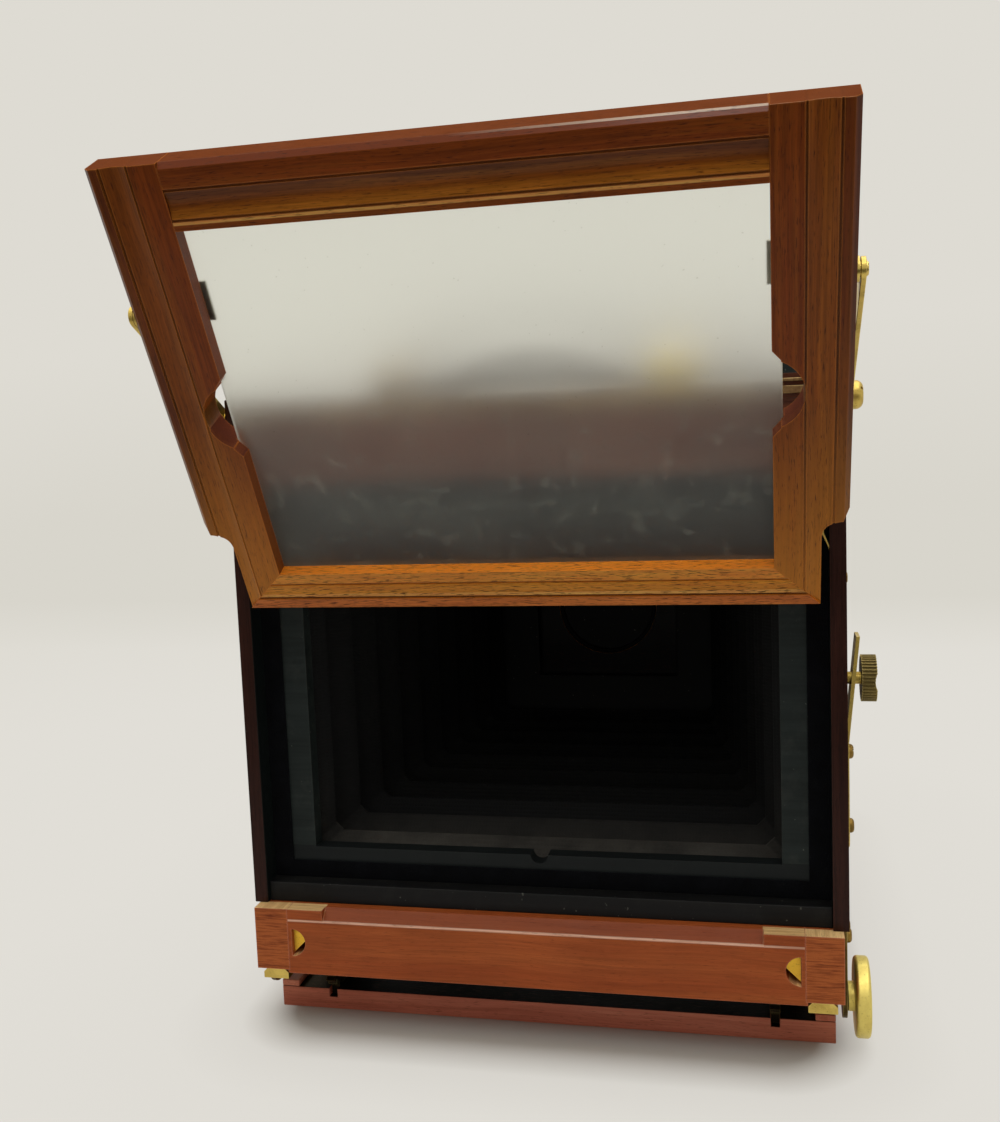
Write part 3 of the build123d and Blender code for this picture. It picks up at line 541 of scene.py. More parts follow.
def boxMesh(low, high):
    xs, ys, zs = zip(low, high)
    points = [Vector((x, y, z)) for x in xs for y in ys for z in zs]
    faces = [(0, 1, 3, 2), (4, 6, 7, 5), (0, 4, 5, 1), (2, 3, 7, 6), (0, 2, 6, 4), (1, 5, 7, 3)]
    return meshFrom("box", points, faces)


def gather(name, parts):
    # one mesh from (mesh, matrix) pairs
    points, faces = [], []
    for mesh, matrix in parts:
        start = len(points)
        points += [matrix @ vert.co for vert in mesh.vertices]
        faces += [[start + index for index in face.vertices] for face in mesh.polygons]
    return meshFrom(name, points, faces)


def pointing(spot, way):
    # at spot, with Z along way
    return Matrix.Translation(spot) @ way.to_track_quat("Z", "Y").to_matrix().to_4x4()


# Finishes
# rubbed colours go on the arrises, as wear and as a painted highlight
mahogany = {
    "dark": paint(104, 44, 11), "middle": paint(150, 76, 22), "light": paint(194, 120, 38),
    "pore": paint(56, 22, 7), "rubbed": paint(232, 140, 54), "rub": 0.6, "edge": 0.6 * mm,
    "figure": 190, "wave": 0.004, "fibre": 0.6, "poreFrom": 0.60, "poreDepth": 0.7,
    "gloss": 0.30, "coat": 0.10, "shine": 0.10, "bump": 0.3,
}
redMahogany = {
    **mahogany, "dark": paint(150, 68, 30), "middle": paint(166, 80, 37), "light": paint(180, 94, 45),
    "pore": paint(96, 38, 16), "rubbed": paint(238, 160, 128), "figure": 120, "fibre": 0.35,
    "poreFrom": 0.62, "poreDepth": 0.5,
}
baseMahogany = {
    **redMahogany, "dark": paint(186, 99, 75), "middle": paint(206, 121, 94), "light": paint(218, 136, 108),
    "rub": 0.35, "gloss": 0.4,
}
darkMahogany = {
    **mahogany, "dark": paint(34, 16, 13), "middle": paint(46, 24, 18), "light": paint(58, 31, 24),
    "pore": paint(20, 9, 8), "rubbed": paint(110, 66, 50), "rub": 0.3, "coat": 0.04,
}
topMahogany = {
    **mahogany, "dark": paint(70, 38, 27), "middle": paint(92, 52, 37), "light": paint(110, 66, 48),
    "pore": paint(40, 20, 14), "rubbed": paint(140, 92, 66), "shift": (0.1, 0.3, 0.2),
}
agedBrass = {
    "bright": paint(214, 186, 98), "dull": paint(140, 110, 48), "spot": paint(76, 56, 28),
    "rubbed": paint(240, 216, 140), "rub": 0.5, "edge": 0.6 * mm, "blacked": paint(12, 12, 12),
    "stainScale": 110, "stainFrom": 0.48, "stain": 0.45, "rough": 0.26, "bump": 0.2,
}
satinBrass = {**agedBrass, "bright": paint(230, 210, 118), "stain": 0.22, "rough": 0.34}
darkBrass = {**agedBrass, "bright": paint(150, 120, 60), "dull": paint(84, 64, 30), "stainFrom": 0.38}
# lighter copies of the brass, as painted light: gold for the corner plates, bright for the handle's right plate
goldBrass = {**agedBrass, "bright": paint(228, 182, 64), "stain": 0.25, "rough": 0.36}
brightBrass = {**agedBrass, "bright": paint(255, 232, 112), "stain": 0.1, "rough": 0.5}
brownBrass = {**agedBrass, "stainFrom": 0.36, "stain": 0.8}
stripBrass = {**brownBrass, "bright": paint(186, 158, 112), "dull": paint(104, 76, 50)}
nutBrass = {**brownBrass, "bright": paint(112, 92, 46), "dull": paint(58, 46, 22)}
# painted shade: brass coloured near black for the racks and pinions, which lie in the dark under the carriage
rackBrassPaintedShade = {
    **agedBrass, "bright": paint(32, 26, 17), "dull": paint(16, 13, 10), "stainFrom": 0.36, "rub": 0.1,
}
greyMetal = {
    **agedBrass, "bright": paint(150, 145, 130), "dull": paint(96, 92, 82), "rubbed": paint(190, 184, 166),
}
blackStain = {
    "dark": paint(23, 29, 28), "light": paint(36, 43, 41), "deep": paint(11, 13, 15), "dust": 0.10,
    "rubbed": paint(120, 122, 112), "rub": 0.12, "edge": 0.6 * mm, "rough": 0.6,
}
# a darker copy of the black stain for the sill: real black stain, deepened by painted shade deep in the body
sillStainAndShade = {**blackStain, "dark": paint(5, 6, 7), "light": paint(17, 16, 16), "dust": 0.04}
# a near-black copy for the inside of the front standard: real black stain, deepened by painted shade
pitchBlack = {**blackStain, "dark": paint(2, 2, 2), "light": paint(6, 6, 6), "dust": 0.0, "rub": 0.0}

brass = brassMaterial("agedBrass", agedBrass)
brassDark = brassMaterial("darkBrass", darkBrass)
brassNut = brassMaterial("nutBrass", nutBrass)
blackAcross = stainMaterial("blackStainAcross", blackStain, alongX)
pitBlack = stainMaterial("pitchBlack", pitchBlack, alongX)
print("finishes made")


def reach(node, way):
    # least and greatest distance of a node's points along a direction
    along = [vert.co.dot(way) for vert in frame["nodes"][node].data.vertices]
    return min(along), max(along)


# Focusing screen
screenMiddle = sum(reach("ground_glass", screenUp)) / 2
screenTop = reach("screen_top_rail", screenUp)[1]
screenFoot = reach("screen_bottom_rail", screenUp)[0]
glassFront = reach("ground_glass", screenFace)[1] - 0.2 * mm  # just under the face of the glass
bevelFace = (screenUp + screenFace).normalized()
screenLook = {
    "sightHalf": 79.7 * mm, "sightSlack": 0.5 * mm, "stileWidth": 21.5 * mm, "topRail": 18.8 * mm,
    "bottomRail": 13.7 * mm, "strips": 0.74,
    "inner": paint(126, 56, 15), "cove": paint(136, 72, 20), "outer": paint(96, 44, 16),
    "line": paint(36, 15, 6), "rim": paint(62, 26, 17), "bead": paint(255, 186, 102),
    "band": paint(134, 60, 22), "shade": paint(80, 42, 16), "dusky": paint(246, 160, 66),
    "honey": paint(236, 154, 56), "foot": paint(214, 120, 56), "gold": paint(196, 122, 40),
    # painted colour of a strip's light and shade, and where it starts and ends in mm from the inner edge
    "stileStrips": (
        ("inner", 0.0, 8.3), ("line", 8.6, 9.0), ("cove", 9.3, 16.5), ("line", 16.8, 17.2),
        ("outer", 17.5, 20.0), ("rim", 20.6)),
    "topStrips": (
        ("inner", 0.0, 1.6), ("bead", 1.8, 2.6), ("line", 2.8), ("gold", 3.6), ("cove", 6.5),
        ("shade", 9.6, 10.9), ("line", 11.3), ("band", 11.8), ("inner", 15.0)),
    "bottomStrips": (
        ("dusky", 0.0, 3.8), ("shade", 4.2), ("honey", 4.6, 8.4), ("bead", 8.6, 9.4), ("line", 9.5, 10.1),
        ("foot", 10.4)),
    # painted light and shade over the strips: a colour and how strongly it covers
    "golden": (paint(236, 154, 50), 0.5), "reveal": (paint(96, 44, 22), 0.75),
    "notch": (paint(84, 38, 28), 0.8), "topEdge": (paint(118, 56, 14), 0.9),
    "bevel": (paint(134, 60, 22), 0.8), "shineLine": (paint(255, 226, 198), 0.9),
    "litReveal": (paint(236, 130, 20), 0.75), "rebate": (paint(26, 17, 11), 0.9),
    "lineWide": 0.5 * mm, "lineFrom": 0.0, "lineTo": 50 * mm, "bevelShine": 0.2, "dull": 0.6,
    # how far a face looks sideways, up or out before it takes such a colour
    "sideFrom": 0.7, "notchFrom": 0.3, "topFrom": 0.85, "bevelFrom": 0.94,
}
screenGlass = {
    "tint": (0.93, 0.94, 0.88, 1), "rough": 0.50, "ior": 1.3, "shine": 0.25, "passes": 0.75,
    "grey": paint(180, 180, 168), "dust": 0.075, "blotch": 1.5, "fleck": 0.25,
    "dustFrom": screenMiddle - 15 * mm, "dustTo": screenMiddle + 10 * mm,
    "dustGrain": dict(scale=26, detail=6, rough=0.7, warp=0.2, start=0.46, end=0.80),
    "blotchGrain": dict(scale=210, detail=1, rough=0.4, start=0.62, end=0.70),
    "fleckGrain": dict(scale=900, detail=1, rough=0.5, start=0.76, end=0.80),
    "grit": dict(scale=6000, detail=2, rough=0.6), "bump": 0.15, "relief": 0.04 * mm,
}


def mouldingPaintedShading(distance, width, spans):
    # painted light and shade: each strip of a moulding gets its own colour, dark in the grooves, bright on the
    # bead, lighter on the coves
    def strips(tone):
        share = calc("DIVIDE", distance(), width)
        stops = [(at * mm / width, screenLook[key]) for key, *span in spans for at in span]
        return mix(screenLook["strips"], tone, ramp(share, *stops))
    return strips


def fromSight():
    return minus(absolute(split(spotOf())[0]), screenLook["sightHalf"])


def fromInner(inner, way):
    return lambda: minus(lengthAlong(spotOf(), way), inner)


def facesUp():
    return lengthAlong(normalOf(), screenUp)


def onBevel():
    return above(lengthAlong(normalOf(), bevelFace), screenLook["bevelFrom"])


def screenPaintedLightAndShade(tone, fibre):
    look = screenLook
    height = lengthAlong(spotOf(), screenUp)
    across = split(spotOf())[0]
    side = absolute(split(normalOf())[0])
    low = below(height, screenMiddle)
    high = minus(1.0, low)
    # painted light: the stiles are more golden towards their feet
    tone = tint(tone, look["golden"], between(height, screenMiddle, screenFoot))
    # painted shade darkens the sides of the opening, the notches and the top edge
    inside = below(absolute(across), look["sightHalf"] + look["sightSlack"])
    tone = tint(tone, look["reveal"], above(side, look["sideFrom"]), inside)
    tone = tint(tone, look["notch"], above(facesUp(), look["notchFrom"]), low)
    tone = tint(tone, look["topEdge"], above(facesUp(), look["topFrom"]), high)
    # painted shade gives the bevel the face's tone, and a painted highlight runs in a thin line along its upper
    # arris, most towards the right
    slope = times(onBevel(), high)
    tone = tint(tone, look["bevel"], slope)
    line = above(height, screenTop - look["lineWide"])
    return tint(tone, look["shineLine"], slope, line, between(across, look["lineFrom"], look["lineTo"]))


def litReveal(tone, fibre):
    # painted light: the bottom of the opening before the glass is painted clear orange, as lit through the glass;
    # painted shade darkens the rebate behind it
    raised = above(facesUp(), facing)
    before = above(lengthAlong(spotOf(), screenFace), glassFront)
    tone = tint(tone, screenLook["litReveal"], raised, before)
    return tint(tone, screenLook["rebate"], raised, minus(1.0, before))


def bevelVarnish():
    # polish is thicker on the outer bevel and gone from the notches and the top edge
    bevel = onBevel()
    bare = times(above(facesUp(), screenLook["notchFrom"]), minus(1.0, bevel))
    coat = ramp(bevel, (0.0, mahogany["coat"]), (1.0, screenLook["bevelShine"]))
    return times(coat, minus(1.0, bare)), times(bare, screenLook["dull"])


def makeScreen():
    look = screenLook
    stileStrips = mouldingPaintedShading(fromSight, look["stileWidth"], look["stileStrips"])
    inner = fromInner(reach("screen_top_rail", screenUp)[0], screenUp)
    topStrips = mouldingPaintedShading(inner, look["topRail"], look["topStrips"])
    inner = fromInner(-reach("screen_bottom_rail", screenUp)[1], -screenUp)
    bottomStrips = mouldingPaintedShading(inner, look["bottomRail"], look["bottomStrips"])
    topLook = {**mahogany, "shift": (0.2, 0.1, 0.4)}
    bottomLook = {**mahogany, "shift": (0.5, 0.3, 0.2), "poreFrom": 0.56, "poreDepth": 0.85}
    stileWood = woodMaterial("stileWood", mahogany, screenUp, stileStrips, screenPaintedLightAndShade, bevelVarnish)
    topWood = woodMaterial("screenTopWood", topLook, alongX, topStrips, screenPaintedLightAndShade, bevelVarnish)
    bottomWood = woodMaterial("screenBottomWood", bottomLook, alongX, bottomStrips, litReveal)
    clipMetal = brassMaterial("greyMetal", greyMetal)
    glass = groundGlassMaterial("groundGlass", screenGlass)
    dress(stileWood, "mahogany", "screen_stile_right", "screen_stile_left", arris=0.25)
    dress(topWood, "mahogany", "screen_top_rail", arris=0.25)
    dress(bottomWood, "mahogany", "screen_bottom_rail", arris=0.25)
    dress(glass, "ground_glass", "ground_glass", arris=0.3)
    dress(clipMetal, "brass", "glass_clips", arris=0.15)
    dress(brass, "brass", "screen_arms", arris=0.2)


makeScreen()
print("screen dressed")

# Rear body
openings = {box["name"]: box["box_m"] for box in frame["record"]["physics"]["openings"]}
imageLow, imageHigh = openings["image_opening"]
maskDeepBelow = imageLow[2] - 0.6 * mm  # the mask is a deeper black under its opening
blackVelvet = {
    "dark": paint(5, 5, 7), "light": paint(12, 13, 16), "sheenTint": paint(96, 100, 108), "sheen": 0.25,
    "sheenRough": 0.4, "shine": 0.1, "bump": 0.8, "relief": 0.3 * mm,
    "pile": dict(scale=2600, detail=2, rough=0.6), "nap": dict(scale=120, detail=3, rough=0.6),
}


def blackInner(tone, fibre):
    # the walls are stained black on the faces that look into the camera
    outward = calc("SIGN", split(spotOf())[0])
    inward = below(times(outward, split(normalOf())[0]), -facing)
    return mix(inward, tone, blackStain["dark"])


def makeBody():
    wallWood = woodMaterial("wallWood", darkMahogany, alongZ, worn=blackInner)
    topWood = woodMaterial("topBoardWood", topMahogany, alongX)
    maskBlack = stainMaterial("maskStain", blackStain, alongX, maskDeepBelow)
    sillBlack = stainMaterial("sillStainAndShade", sillStainAndShade, alongX)
    velvet = velvetMaterial("blackVelvet", blackVelvet)
    strip = brassMaterial("stripBrass", stripBrass)
    dress(wallWood, "dark_mahogany", "body_wall_left", "body_wall_right", arris=0.4)
    dress(topWood, "mahogany", "body_top", "body_top_rail", arris=0.4)
    dress(maskBlack, "black_wood", "inner_frame", arris=0.4)
    dress(sillBlack, "black_wood", "body_sill", arris=0.4)
    dress(velvet, "velvet", "velvet_seal", arris=0.35)
    dress(strip, "brass", "top_edge_strip", arris=0.25)
    dress(brass, "brass", "spring_leaves", arris=0.15)
    dress(brass, "brass", "stay", "stay_stud", arris=0.2)
    dress(brassNut, "brass", "thumb_nut", arris=0.25)


makeBody()
print("rear body dressed")

# Carriage and base
carriageLook = {
    "bareTone": paint(255, 214, 148), "bareDark": paint(214, 162, 102), "bareFrom": 74.5 * mm,
    "bareBehind": -116.5 * mm,
    "chamfer": (paint(142, 68, 32), 0.5), "chamferFrom": 0.4, "chamferTo": 0.95,
    "arrisHighlight": paint(255, 206, 176), "arrisHeight": 39 * mm, "arrisHalf": 87.5 * mm, "arrisFrom": 0.3,
    "endDark": paint(118, 50, 20), "endTone": paint(196, 106, 52), "endShare": 0.8, "endFrom": 0.7,
    "endLines": dict(scale=1700, detail=3, rough=0.7, stretch=(0.06, 1, 1)),
    "bedShade": paint(8, 7, 7),
}


def bareCorners(tone, fibre):
    # varnish is gone from the tops of the carriage's rear corners
    look = carriageLook
    spot = split(spotOf())
    corner = above(absolute(spot[0]), look["bareFrom"])
    behind = below(spot[1], look["bareBehind"])
    top = above(split(normalOf())[2], facing)
    bare = ramp(fibre, (0.3, look["bareDark"]), (0.65, look["bareTone"]))
    return mix(times(corner, behind, top), tone, bare)


def chamferTones(tone, fibre):
    # the rear rail's chamfer is darker, and a painted highlight runs pale in patches along its lower arris
    look = carriageLook
    tone = bareCorners(tone, fibre)
    spot = split(spotOf())
    normal = split(normalOf())
    slope = above(normal[2], look["chamferFrom"])
    tone = tint(tone, look["chamfer"], slope, below(normal[2], look["chamferTo"]))
    off = absolute(minus(spot[2], look["arrisHeight"]))
    line = ramp(calc("DIVIDE", off, 1 * mm), (0.22, 1.0), (0.5, 0.0))
    behind = below(normal[1], -look["arrisFrom"])
    short = below(absolute(spot[0]), look["arrisHalf"])
    patchy = ramp(fibre, (0.35, 0.45), (0.6, 0.9))
    return mix(times(line, behind, short, patchy), tone, look["arrisHighlight"])


def bedPaintedShade(tone, fibre):
    # painted shade: the top of the base, where the carriage runs, is coloured near black
    up = split(normalOf())[2]
    return mix(above(up, facing), tone, carriageLook["bedShade"])


def railEnds(tone, fibre):
    # fine level lines on the ends of the side rails
    look = carriageLook
    tone = bareCorners(tone, fibre)
    lines = grainy(spotOf(), **look["endLines"])
    ends = ramp(lines, (0.32, look["endDark"]), (0.55, look["endTone"]))
    back = below(split(normalOf())[1], -look["endFrom"])
    return tint(tone, (ends, look["endShare"]), back)


def makeCarriage():
    railLook = {**redMahogany, "shift": (0.3, 0.2, 0.1)}
    edgeLook = {**baseMahogany, "shift": (0.1, 0.1, 0.5)}
    sideRailWood = woodMaterial("carriageSideWood", redMahogany, alongY, worn=railEnds)
    railWood = woodMaterial("carriageRailWood", railLook, alongX, worn=chamferTones)
    baseWood = woodMaterial("baseWood", baseMahogany, alongX, worn=bedPaintedShade)
    edgeWood = woodMaterial("baseEdgeWood", edgeLook, alongY)
    goldPlate = brassMaterial("goldBrass", goldBrass)
    rackShadeBrass = brassMaterial("rackBrassPaintedShade", rackBrassPaintedShade)
    pinionJoint = next(joint for joint in frame["joints"] if joint["name"] == "pinion_turn")
    knobBrass = brassMaterial("knobBrass", satinBrass, (0, pinionJoint["pos_m"]))
    dress(sideRailWood, "red_mahogany", "carriage_side_rails", arris=0.35)
    dress(railWood, "red_mahogany", "carriage_rear_rail", "carriage_front_rail", arris=0.35)
    dress(blackAcross, "black_wood", "carriage_floor", "sliding_shoes", arris=0.35)
    dress(baseWood, "red_mahogany", "base_board", arris=0.35)
    dress(edgeWood, "red_mahogany", "base_edges", arris=0.35)
    # painted light: the corner plates take the lighter gold brass
    dress(goldPlate, "brass", "corner_plates", arris=0.15)
    dress(brass, "brass", "runners", "tripod_bush", arris=0.15)
    dress(brassNut, "brass", "bearing_plates", "pinion_shaft", arris=0.15)
    # painted shade on the racks and pinions
    dress(rackShadeBrass, "brass", "racks", "pinions", arris=0.1)
    dress(knobBrass, "brass", "focusing_knob", arris=0.2)


makeCarriage()
print("carriage and base dressed")

# Front standard and lens
lensGlass = {
    "tint": (0.55, 0.57, 0.58, 1), "ior": 1.52, "shine": 0.12, "clean": 0.01, "smeared": 0.06,
    "smear": dict(scale=140, detail=4, rough=0.6),
}


def blackRear(tone, fibre):
    # the lens panel is stained black where it faces into the bellows, deepened to near black by painted shade
    rear = below(split(normalOf())[1], -facing)
    return mix(rear, tone, pitchBlack["dark"])


def partly(piece, material, chosen):
    # a second finish on the faces whose middles are chosen
    piece.data.materials.append(material)
    for face in piece.data.polygons:
        face.material_index = int(chosen(face.center))


def makeFront():
    panelLook = {**mahogany, "shift": (0.9, 0.5, 0.1), "figure": 110}
    postWood = woodMaterial("postWood", {**mahogany, "shift": (0.4, 0.1, 0.3)}, alongZ)
    crossWood = woodMaterial("crossBarWood", {**mahogany, "shift": (0.6, 0.2, 0.1)}, alongX)
    panelWood = woodMaterial("lensPanelWood", panelLook, alongX, worn=blackRear)
    blackUp = stainMaterial("blackStainUp", blackStain, alongZ)
    platesBright = brassMaterial("brightBrass", brightBrass)
    lensMiddle = sum(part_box("lens_barrel"), Vector()) / 2
    lensBrass = brassMaterial("lensBrass", satinBrass, (1, lensMiddle), blackInside=True)
    clear = lensGlassMaterial("lensGlass", lensGlass)
    dress(postWood, "mahogany", "front_posts", arris=0.4)
    dress(crossWood, "mahogany", "front_foot", arris=0.4)
    dress(blackAcross, "black_wood", "front_top_bar", arris=0.4)
    dress(panelWood, "mahogany", "lens_panel", arris=0.4)
    dress(pitBlack, "black_wood", "bellows_frame", arris=0.4)
    dress(brass, "brass", "front_gussets", "panel_guides", "clamp_screw", arris=0.2)
    # painted light and shade: the handle's right plate takes the lighter brass, its left plate the darker
    plates = dress(platesBright, "brass", "handle_plates", arris=0.3)
    partly(plates, brassDark, lambda middle: middle.x < 0)
    dress(lensBrass, "brass", "lens_flange", "lens_barrel", "lens_hood", "iris_ring", arris=0.25)
    dress(lensBrass, "brass", "lens_cap", arris=0.3)
    # painted shade: the rear glass, in the dark of the bellows, takes the near-black finish
    glasses = dress(clear, "lens_glass", "lens_glasses", arris=0.1)
    partly(glasses, pitBlack, lambda middle: middle.y < lensMiddle.y)
    dress(blackUp, "black_metal", "iris_leaves", arris=0.1)


makeFront()
print("front and lens dressed")

# Slotted screws: the way the heads look, and the width and depth of the slots
plainScrew = {"way": alongX, "slot": 0.6 * mm, "deep": 0.6 * mm, "brass": brass}
screwKinds = {
    "back_screws": {**plainScrew, "deep": 0.5 * mm, "brass": brassDark},
    "gusset_screws": plainScrew,
    "arm_pivot_screws": {**plainScrew, "slot": 0.9 * mm, "deep": 0.9 * mm},
    "screen_pivot_screws": {**plainScrew, "slot": 0.5 * mm, "deep": 0.25 * mm},
    "handle_screws": {**plainScrew, "way": alongZ},
    "flange_screws": {**plainScrew, "way": alongY},
    "tripod_bush_screws": {**plainScrew, "way": -alongZ},
}
slotLook = {"past": 1.3, "firstTurn": 0.7, "nextTurn": 1.9}


def slottedScrews(node, kind):
    slots = []
    for number, (low, high) in enumerate(islands(node)):
        middle, half = (low + high) / 2, (high - low) / 2
        way = -kind["way"] if kind["way"] == alongX and middle.x < 0 else kind["way"]
        seat = middle + Vector([part * length for part, length in zip(way, half)])
        across = max(length for part, length in zip(way, half) if abs(part) < 0.5) * slotLook["past"]
        corner = Vector((across, kind["slot"] / 2, kind["deep"]))
        turn = Matrix.Rotation(slotLook["firstTurn"] + slotLook["nextTurn"] * number, 4, "Z")
        slots.append((boxMesh(-corner, corner), pointing(seat, way) @ turn))
    mesh = cutAway(cleanMesh(node), gather(node + "Slots", slots))
    settle(newPiece(node + "Dressed", mesh, kind["brass"]), bodyOf[node], "brass", node)


for node, kind in screwKinds.items():
    slottedScrews(node, kind)
dress(brassDark, "brass", "clip_screws", arris=0.12)
print("screws dressed")

# Bellows, pleated cloth-lined leather between the body and the front standard
bellowsLook = {
    "pleats": 10, "depth": 8.0 * mm, "thick": 1.0 * mm, "corner": 3.0 * mm, "frontHalf": 50.0 * mm,
    "ridge": 0.05, "overlap": 1.0 * mm, "shares": (0.0, 0.25, 0.5, 0.75), "sharp": 40,
}
bellowsLeather = {
    "dark": paint(36, 12, 12), "light": paint(64, 22, 20), "crease": paint(18, 6, 6), "cells": 900,
    "rubbed": paint(112, 58, 46), "rub": 0.55, "edge": 1.6 * mm, "cloud": 40, "rough": 0.5, "bump": 0.35,
}
liningCloth = {
    "dark": paint(5, 6, 6), "light": paint(12, 12, 12), "nap": dict(scale=60, detail=4, rough=0.6),
    "dust": paint(92, 88, 80), "dustGrain": dict(scale=45, detail=5, rough=0.65), "dustFrom": -70 * mm,
    "dustTo": -98 * mm, "threads": 260.0, "uneven": 0.6, "rough": 0.85, "shine": 0.25, "bump": 0.3,
    "relief": 0.2 * mm,
}


def bellowsRing(y, halfWidth, halfHeight, middle):
    # a rectangle with its corners cut off, each side in equal shares
    cut = bellowsLook["corner"]
    ring = []
    for x, z, first in ((1, 1, 0), (-1, 1, 1), (-1, -1, 0), (1, -1, 1)):
        pair = [(x * halfWidth, z * (halfHeight - cut)), (x * (halfWidth - cut), z * halfHeight)]
        ring += pair[::-1] if first else pair
    ring = [Vector((x, y, middle + z)) for x, z in ring]
    sides = zip(ring, ring[1:] + ring[:1])
    return [start.lerp(end, share) for start, end in sides for share in bellowsLook["shares"]]


def pleatRows():
    # share of the length, and share of a pleat's depth; ridges and valleys are narrow flats
    folds = 2 * bellowsLook["pleats"]
    rows = [(0.0, 1.0)]
    for fold in range(folds + 1):
        for nudge in (-bellowsLook["ridge"], bellowsLook["ridge"], 0.5):
            at = fold + nudge
            if 0 <= at <= folds:
                rows.append((at / folds, 1 - 2 * abs(at / 2 - round(at / 2))))
    return rows + [(1.0, 1.0)]


def makeBellows():
    look = bellowsLook
    low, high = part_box("bellows")
    rearHalf = imageHigh[0] + look["overlap"]
    rearTall = (imageHigh[2] - imageLow[2]) / 2 + look["overlap"]
    middle = (low.z + high.z) / 2
    rows = pleatRows()
    points, outer, inner, ends = [], [], [], []
    for inset in (0.0, look["thick"]):
        for along, deep in rows:
            swell = look["depth"] * deep - inset
            halfWidth = rearHalf + (look["frontHalf"] - rearHalf) * along + swell
            halfTall = rearTall + (look["frontHalf"] - rearTall) * along + swell
            points += bellowsRing(low.y + (high.y - low.y) * along, halfWidth, halfTall, middle)
    count = len(points) // len(rows) // 2
    shift = count * len(rows)
    for row in range(len(rows)):
        first, second = row * count, (row + 1) * count
        for step in range(count):
            after = (step + 1) % count
            if row < len(rows) - 1:
                face = [first + step, second + step, second + after, first + after]
                outer.append(face)
                inner.append([shift + corner for corner in face[::-1]])
            if row in (0, len(rows) - 1):
                ends.append([first + step, first + after, shift + first + after, shift + first + step])
    mesh = meshFrom("bellowsMesh", points, outer + ends + inner)
    bm = bmesh.new()
    bm.from_mesh(mesh)
    bmesh.ops.recalc_face_normals(bm, faces=bm.faces)
    bm.to_mesh(mesh)
    bm.free()
    piece = newPiece("bellowsSkin", mesh, leatherMaterial("bellowsLeather", bellowsLeather), look["sharp"])
    mesh.materials.append(clothMaterial("liningCloth", liningCloth))
    for face in mesh.polygons[len(outer + ends):]:
        face.material_index = 1
    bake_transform(piece)
    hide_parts("bellows")


makeBellows()
print("bellows made")

# Leather carrying handle with two rows of stitches
handleLook = {
    "half": 40.0 * mm, "rise": 9.5 * mm, "tab": 15.0 * mm, "width": 18.0 * mm, "thick": 3.0 * mm,
    "edge": 0.9 * mm, "under": 0.1 * mm, "shoulder": 0.25 * mm, "fallDrop": 0.3 * mm, "crown": (0.5, 0.72),
    "stitch": 2.3 * mm, "pitch": 3.2 * mm, "stitchIn": 2.0 * mm, "stitchSink": 0.2 * mm,
    "stitchEnd": 3.0 * mm, "thread": 0.35 * mm, "threadSides": 8, "steps": 40, "strapSharp": 50,
    "stitchSharp": 60,
    # shares of a stitch's half length and of its thread's radius, from the tip inwards
    "taper": ((1.0, 0.0), (0.85, 0.6), (0.6, 1.0)),
}
handleLeather = {
    "dark": paint(38, 20, 12), "light": paint(74, 42, 26), "crease": paint(20, 10, 7), "cells": 1100,
    "rubbed": paint(128, 84, 54), "rub": 0.5, "edge": 1.2 * mm, "cloud": 70, "rough": 0.42, "bump": 0.4,
}
waxedThread = {
    **handleLeather, "dark": paint(150, 118, 76), "light": paint(190, 158, 108),
    "crease": paint(110, 82, 50), "rubbed": paint(200, 172, 124),
}


def handlePath(share, lift):
    # share runs 0 to 1 from tab end to tab end; lift is height above the strap's underside
    look = handleLook
    end = look["half"] + look["tab"]
    x = -end + 2 * end * share
    if abs(x) >= look["half"]:
        return Vector((x, 0, lift))
    radius = (look["half"] ** 2 + look["rise"] ** 2) / (2 * look["rise"])
    drop = radius - (radius ** 2 - x ** 2) ** 0.5
    return Vector((x, 0, look["rise"] - drop + lift))


def strapSection():
    # (across, lift) round the strap: flat below, crowned between its stitched edges above
    look = handleLook
    half, thick, edge = look["width"] / 2, look["thick"], look["edge"]
    flat, fall = [share * half for share in look["crown"]]
    under = [(half - edge, look["under"]), (half, edge)]
    over = [(half, edge), (half - edge, look["shoulder"]), (fall, look["fallDrop"]), (flat, 0)]
    over = [(y, thick - drop) for y, drop in over]
    mirror = [[(-y, lift) for y, lift in side[::-1]] for side in (under, over)]
    return mirror[0] + [(0, 0)] + under + over + mirror[1]


def makeHandle(middle):
    steps, section = handleLook["steps"], strapSection()
    points, faces = [], []
    count = len(section)
    for step in range(steps + 1):
        for y, lift in section:
            points.append(middle + handlePath(step / steps, lift) + Vector((0, y, 0)))
    for step in range(steps):
        for corner in range(count):
            after = (corner + 1) % count
            first, second = step * count, (step + 1) * count
            faces.append([first + corner, first + after, second + after, second + corner])
    faces.append(list(range(count))[::-1])
    faces.append([steps * count + corner for corner in range(count)])
    mesh = meshFrom("handleMesh", points, faces)
    leather = leatherMaterial("handleLeather", handleLeather)
    strap = newPiece("handleStrap", mesh, leather, handleLook["strapSharp"])
    settle(strap, "back", "handle_leather", "handle")


